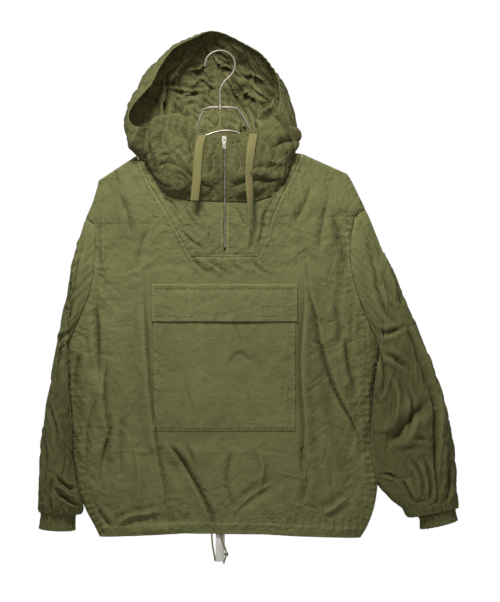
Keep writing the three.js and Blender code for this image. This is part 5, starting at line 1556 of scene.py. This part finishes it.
# Herringbone cotton tape: pale green-ochre, matt, with fine slanting ribs.
def herringbone(name, base, dark, scale):
    material, tree, shader = surface(name, 0.85, sheen=0.1)
    cut = tree.nodes.new("ShaderNodeUVMap")
    cut.uv_map = "cut"
    parts = addNode(tree, "ShaderNodeSeparateXYZ", i0=cut.outputs[0])
    fold = mathNode(tree, "PINGPONG", parts.outputs[0], 0.004)
    slant = mathNode(tree, "ADD", parts.outputs[1], fold)
    rib = mathNode(tree, "SINE", mathNode(tree, "MULTIPLY", slant, scale), 0.0)
    rib = ranged(tree, rib, -1, 1)
    color = blended(tree, mathNode(tree, "MULTIPLY", rib, 0.6), linear(base), linear(dark))
    color = blended(tree, mathNode(tree, "MULTIPLY", attribute(tree, "worn"), 0.3), color, linear(base))
    tree.links.new(color, shader.inputs["Base Color"])
    tree.links.new(bumped(tree, rib, 0.5, 0.0003), shader.inputs["Normal"])
    return material


# Metal: light falls off it brightly, with faint scratches and a duller patina in random patches.
def metalFinish(name, base, dull, rough, scale):
    material, tree, shader = surface(name, rough, metallic=1.0)
    place = tree.nodes.new("ShaderNodeTexCoord").outputs["Object"]
    stain = ranged(tree, noise(tree, place, scale, 5, 0.65), 0.42, 0.66)
    tree.links.new(blended(tree, stain, linear(base), linear(dull)), shader.inputs["Base Color"])
    tree.links.new(ranged(tree, stain, 0, 1, rough, rough + 0.18), shader.inputs["Roughness"])
    scratch = noise(tree, stretched(tree, place, 3000, 3000, 120), 1.0, 2)
    tree.links.new(bumped(tree, scratch, 0.03, 0.0001), shader.inputs["Normal"])
    return material


def plainFinish(name, code, rough, variation, scale, sheen=0.0):
    material, tree, shader = surface(name, rough, sheen=sheen)
    place = tree.nodes.new("ShaderNodeTexCoord").outputs["Object"]
    mottle = ranged(tree, noise(tree, place, scale, 4, 0.6), 0.36, 0.66)
    tree.links.new(blended(tree, mottle, linear(code), linear(variation)), shader.inputs["Base Color"])
    return material


cotton = cottonCloth()
drawTape = herringbone("Herringbone cotton tape", "#827c4c", "#625d36", 3400)
zipCloth = herringbone("Woven polyester zip tape", "#5d5b35", "#474526", 5200)
# Painted shadow: flat dark strips where thread has sunk into the cloth.
seamShadow = plainFinish("Painted seam shadow", "#45411f", 0.95, "#434023", 300)
# Cotton sewing thread, a little paler than the cloth so that each stitch is seen.
thread = plainFinish("Mercerised cotton thread", "#a3a06e", 0.6, "#8a8758", 300, 0.1)
# Braided polyester cord: soft, slightly glossy, ochre green.
braid = plainFinish("Braided polyester cord", "#8f8656", 0.7, "#746c40", 900, 0.1)
# Satin ribbon: smooth and almost white.
ribbon = plainFinish("White satin ribbon", "#ecebe4", 0.45, "#dddbd2", 60)
brass = metalFinish("Antique nickel", "#aca79a", "#78736a", 0.4, 160)
plated = metalFinish("Chrome-plated steel wire", "#a89c90", "#80766c", 0.28, 30)


# Finish each piece: its material, a wall where a thickness is given, its place under the garment, and the
# part it replaces hidden.
def dressPiece(piece, material, replaced, thick=None):
    piece.data.materials.clear()
    piece.data.materials.append(material)
    if thick:
        thicken(piece, thick)
    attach(piece, "garment")
    if replaced:
        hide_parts(*replaced)


clothPieces = [
    (bodyFront, "body_front", "hung"), (bodyBack, "body_back", "hung"),
    (frontBib, "front_bib", "stretched"), (pocket, "pocket", "stretched"),
    (pocketFlap, "pocket_flap", "hung"), (sleeveLeft, "sleeve_left", "hung"),
    (sleeveRight, "sleeve_right", "hung"), (cuffLeft, "cuff_left", "gathered"),
    (cuffRight, "cuff_right", "gathered"), (hoodLeft, "hood_left", "hung"),
    (hoodRight, "hood_right", "hung"),
]
crestReach = 3
# How strongly the painted shade in hollows and the paler crests mark the cloth, 0.22 where a piece isn't
# named.
crestGain = {"hoodLeft": 0.42, "hoodRight": 0.42, "sleeveLeft": 0.3, "sleeveRight": 0.3, "frontPocket": 0.35}
for piece, node, _ in clothPieces:
    markCrests(piece, crestReach, crestGain.get(piece.name, 0.22))
    dressPiece(piece, cotton, [node], clothThick)
dressPiece(zipTape, zipCloth, ["zip_tape"], 0.8)
dressPiece(tapeLeft, drawTape, ["drawstring_left"], 1.2)
dressPiece(tapeRight, drawTape, ["drawstring_right"], 1.2)
dressPiece(sewnLabel, ribbon, ["care_label"], 0.4)
dressPiece(hemKnotted, braid, ["hem_cord_right"])
dressPiece(hemTail, braid, ["hem_cord_tail"])
dressPiece(hemKnot, braid, ["hem_cord_knot"])
dressPiece(hemPlain, braid, ["hem_cord_left"])
for name, material in (("hanger_hook", plated), ("hanger_ferrule", plated), ("hanger_frame", plated),
                       ("zip_slider", brass), ("zip_pull", brass)):
    nodes[name].data.materials.clear()
    nodes[name].data.materials.append(material)


# The first face a line meets from the front, so that stitches follow every crease.
def faceFinder(pieces):
    bpy.context.view_layer.update()
    graph = bpy.context.evaluated_depsgraph_get()
    trees = [BVHTree.FromObject(piece, graph) for piece in pieces]

    def onFace(line, way=1, out=0.15, step=1.5):
        line = np.asarray(line, float)
        run = np.concatenate([[0], np.cumsum(np.hypot(*np.diff(line, axis=0).T))])
        at = np.linspace(0, run[-1], max(int(run[-1] / step), 2))
        places = []
        for x, z in zip(np.interp(at, run, line[:, 0]), np.interp(at, run, line[:, 1])):
            start = Vector((x * mm, -0.4 * way, z * mm))
            hits = [tree.ray_cast(start, Vector((0, way, 0)))[0] for tree in trees]
            depths = [hit.y / mm for hit in hits if hit is not None]
            if depths:
                places.append((x, (min(depths) if way > 0 else max(depths)) - way * out, z))
        return np.array(places)
    return onFace


onFace = faceFinder([piece for piece, _, _ in clothPieces])


def beside(line, gap):
    # The line moved to its left when gap is positive.
    line = np.asarray(line, float)
    way = np.gradient(line, axis=0)
    way /= np.linalg.norm(way, axis=1, keepdims=True)
    return line + gap * np.stack([-way[:, 1], way[:, 0]], -1)


def seamRows(line, gaps, way=1):
    return [found for found in (onFace(beside(line, gap), way) for gap in gaps) if len(found) > 3]


def boxRows(box, sides, gaps):
    left, right, top, bottom = box["left"], box["right"], box["top"], box["bottom"]
    lines = []
    for gap in gaps:
        edges = {"left": [(left + gap, bottom + gap), (left + gap, top - gap)],
                 "right": [(right - gap, bottom + gap), (right - gap, top - gap)],
                 "top": [(left + gap, top - gap), (right - gap, top - gap)],
                 "bottom": [(left + gap, bottom + gap), (right - gap, bottom + gap)]}
        lines += [onFace(edges[side]) for side in sides]
    return lines


# How far each row of stitches or painted shadow line lies from its seam or from the middle of the zip.
rowOut = {"seam": (1.6, 6.8), "shoulder": (-2.5, -8), "hem": (0, 1.8), "zip": 6.2, "zipGroove": 9,
          "bibGroove": 7}
zipSides = (zipX - rowOut["zipGroove"], zipX + rowOut["zipGroove"])


def bodyRows():
    lines = []
    for n, way in enumerate((-1, 1)):
        gaps = [way * gap for gap in rowOut["seam"]]
        lines += seamRows(sideSeams[n], gaps) + seamRows(armholes[n], gaps) + seamRows(sideSeams[n], gaps, -1)
        lines += seamRows(shoulders[n], rowOut["shoulder"])
    return lines


def bibRows(gap):
    return seamRows(bibEdges[0], (gap,)) + seamRows(bibEdges[1], (-gap,)) + seamRows(bibFoot, (gap,))


stitchTree = spreadTree("Stitches", thread)
stitchSize = {"Pitch": 0.0034, "Length": 0.0024, "Width": 0.0009, "Height": 0.0007, "Aside": 0.0}
everySide = ("left", "right", "top", "bottom")
cornerBox = {"left": 111.5, "right": 134.5, "top": -608, "bottom": -684}
tackLines = [[(-108, -479), (-52, -479)], [(78, -462), (124, -462)], [(78, -479), (124, -479)]]


# The end of a tape is folded in and sewn across.
def acrossTape(line, back):
    place = line[-1 - back]
    side = np.array([math.cos(place[3]), math.sin(place[3]), 0.0])
    out = np.array([math.sin(place[3]), -math.cos(place[3]), 0.0])
    return np.array([place[:3] + side * at + out * 1.0 for at in np.linspace(-6.4, 6.4, 9)])


stitchLines = {
    "bodyStitches": bodyRows(),
    "hoodStitches": hoodStitchLines,
    "hemStitches": seamRows(hemStitch, rowOut["hem"]) + seamRows(hemStitch, rowOut["hem"], -1),
    "bibStitches": bibRows(rowOut["seam"][0]),
    "zipStitches": [onFace([(at, -270), (at, -352)]) for at in (zipX - rowOut["zip"], zipX + rowOut["zip"])],
    "pocketStitches": boxRows(pocketBox, ("left", "right", "bottom"), rowOut["seam"][:1]),
    "flapStitches": boxRows(flapBox, everySide, rowOut["seam"][:1]),
    "tapeStitches": [acrossTape(line, back) for line in (tapeLeftRows, tapeRightRows) for back in (2, 6)],
}
# Bar tacks hold the flap's two ends.
for left in (flapBox["left"] + 1.5, flapBox["right"] - 10.5):
    stitchLines["flapStitches"] += [onFace([(left, z), (left + 9, z)]) for z in np.arange(-481, -434, 3.4)]
for name, lines in stitchLines.items():
    dressPiece(spreadAlong(name, lines, stitchTree, stitchSize), thread, [])

# Rows where the thread has sunk into the cloth, laid as flat dark strips of painted shadow.
grooveLines = {
    "bibGrooves": bibRows(rowOut["bibGroove"]),
    "zipGrooves": [onFace([(at, -268), (at, -356)]) for at in zipSides]
                  + [onFace([(zipSides[0], z), (zipSides[1], z)]) for z in (-356, -351)],
    "pocketGrooves": boxRows(pocketBox, ("bottom",), (6.5,)) + boxRows(cornerBox, ("left", "top"), (0,)),
    "flapGrooves": boxRows(flapBox, ("top",), (9,)) + [onFace(line) for line in tackLines],
    "hoodGrooves": hoodGrooveLines,
}
grooveTree = spreadTree("SeamShadowStrips", seamShadow)
grooveSize = {"Pitch": 0.0085, "Length": 0.0084, "Width": 0.0014, "Height": 0.0003, "Aside": 0.0}
for name, lines in grooveLines.items():
    dressPiece(spreadAlong(name, lines, grooveTree, grooveSize), seamShadow, [])

teethTree = spreadTree("zipTeeth", brass)
teethLine = [np.array([(zipX, float(zipFront(z)) - 0.8, z) for z in np.linspace(-356, -166, 190)])]
zipTeeth = spreadAlong("zipTeeth", teethLine, teethTree, {"Pitch": 0.0013, "Length": 0.0016, "Width": 0.0026,
                                                           "Height": 0.0026, "Aside": 0.0008})
dressPiece(zipTeeth, brass, ["zip_teeth"])
print("pieces dressed")


# Camera square to the front: its lens takes in 0.9 m of width at 3.18 m.
cameraLook = {"place": (0.054, -3.2, -0.452), "sensor": 36, "distance": 3.18, "width": 0.9}
floorLook = {"reach": 2.5, "height": -1.6}


def makeCamera():
    data = bpy.data.cameras.new("Camera")
    camera = linked("Camera", data)
    camera.location = cameraLook["place"]
    camera.rotation_euler = (math.pi / 2, 0, 0)
    data.sensor_fit = "HORIZONTAL"
    data.sensor_width = cameraLook["sensor"]
    data.lens = cameraLook["sensor"] * cameraLook["distance"] / cameraLook["width"]
    data.dof.use_dof = False
    bpy.context.scene.camera = camera


def areaLight(name, place, aim, size, power, code="#ffffff"):
    data = bpy.data.lights.new(name, "AREA")
    data.shape = "RECTANGLE"
    data.size, data.size_y = size
    data.energy = power
    data.color = linear(code)[:3]
    lamp = linked(name, data)
    lamp.location = place
    lamp.rotation_euler = (Vector(aim) - Vector(place)).to_track_quat("-Z", "Y").to_euler()


def makeWorld(seen, lit):
    world = bpy.data.worlds.new("Studio")
    bpy.context.scene.world = world
    world.use_nodes = True
    tree = world.node_tree
    ground = tree.nodes["Background"]
    rays = tree.nodes.new("ShaderNodeLightPath")
    level = addNode(tree, "ShaderNodeMapRange", i3=lit, i4=seen)
    bright = mathNode(tree, "MAXIMUM", rays.outputs["Is Camera Ray"], rays.outputs["Is Glossy Ray"])
    tree.links.new(bright, level.inputs[0])
    tree.links.new(level.outputs[0], ground.inputs["Strength"])
    ground.inputs["Color"].default_value = (1, 1, 1, 1)


makeCamera()
makeWorld(1.0, 0.2)
areaLight("Key", (-0.16, -0.9, 0.5), (0.03, 0, -0.3), (0.35, 0.25), 15.8)
areaLight("Fill", (0.2, -3.0, 0.3), (0.05, 0, -0.5), (1.6, 1.6), 8)
floorMesh = bpy.data.meshes.new("floor")
floorCorners = [(across * floorLook["reach"], back * floorLook["reach"], floorLook["height"])
                for across, back in ((-1, -1), (1, -1), (1, 1), (-1, 1))]
floorMesh.from_pydata(floorCorners, [], [(0, 1, 2, 3)])
floor = linked("floor", floorMesh)
floorMesh.materials.append(plainFinish("Matt white paper", "#f2f2f0", 0.9, "#ececea", 3))
bpy.context.scene.view_settings.view_transform = "Standard"


# Points of the tapes and cords in metres, worked out here but not used.
def inMetres(line):
    return [tuple(float(v) * mm for v in place[:3]) for place in (*line[::4], line[-1])]


for tape, length, line in ((tapeLeft, tapeLeftLength, tapeLeftRows),
                           (tapeRight, tapeRightLength, tapeRightRows)):
    inMetres(line)[0]
    inMetres(line)
inMetres(hemKnottedLine)[0]
inMetres(hemKnottedLine)
inMetres(hemPlainLine)[0]
inMetres(hemPlainLine)

# Width and height of each cut in metres, and the area inside its outline where it isn't a rectangle.
cutSizes = {
    "bodyFront": (0.58, 0.70, 0.34), "bodyBack": (0.58, 0.72, 0.37), "frontBib": (0.27, 0.15, 0.0235),
    "frontPocket": (0.256, 0.246, None), "pocketFlap": (0.262, 0.070, None), "sleeveLeft": (0.36, 0.42, 0.12),
    "sleeveRight": (0.38, 0.50, 0.16), "cuffLeft": (0.28, 0.031, None), "cuffRight": (0.26, 0.026, None),
    "hoodLeft": (0.45, 0.33, 0.093), "hoodRight": (0.42, 0.33, 0.082),
}
for piece, node, held in clothPieces:
    wide, high, area = cutSizes[piece.name]
    print("area", piece.name, round(sheetArea(piece), 4), wide, high, area)
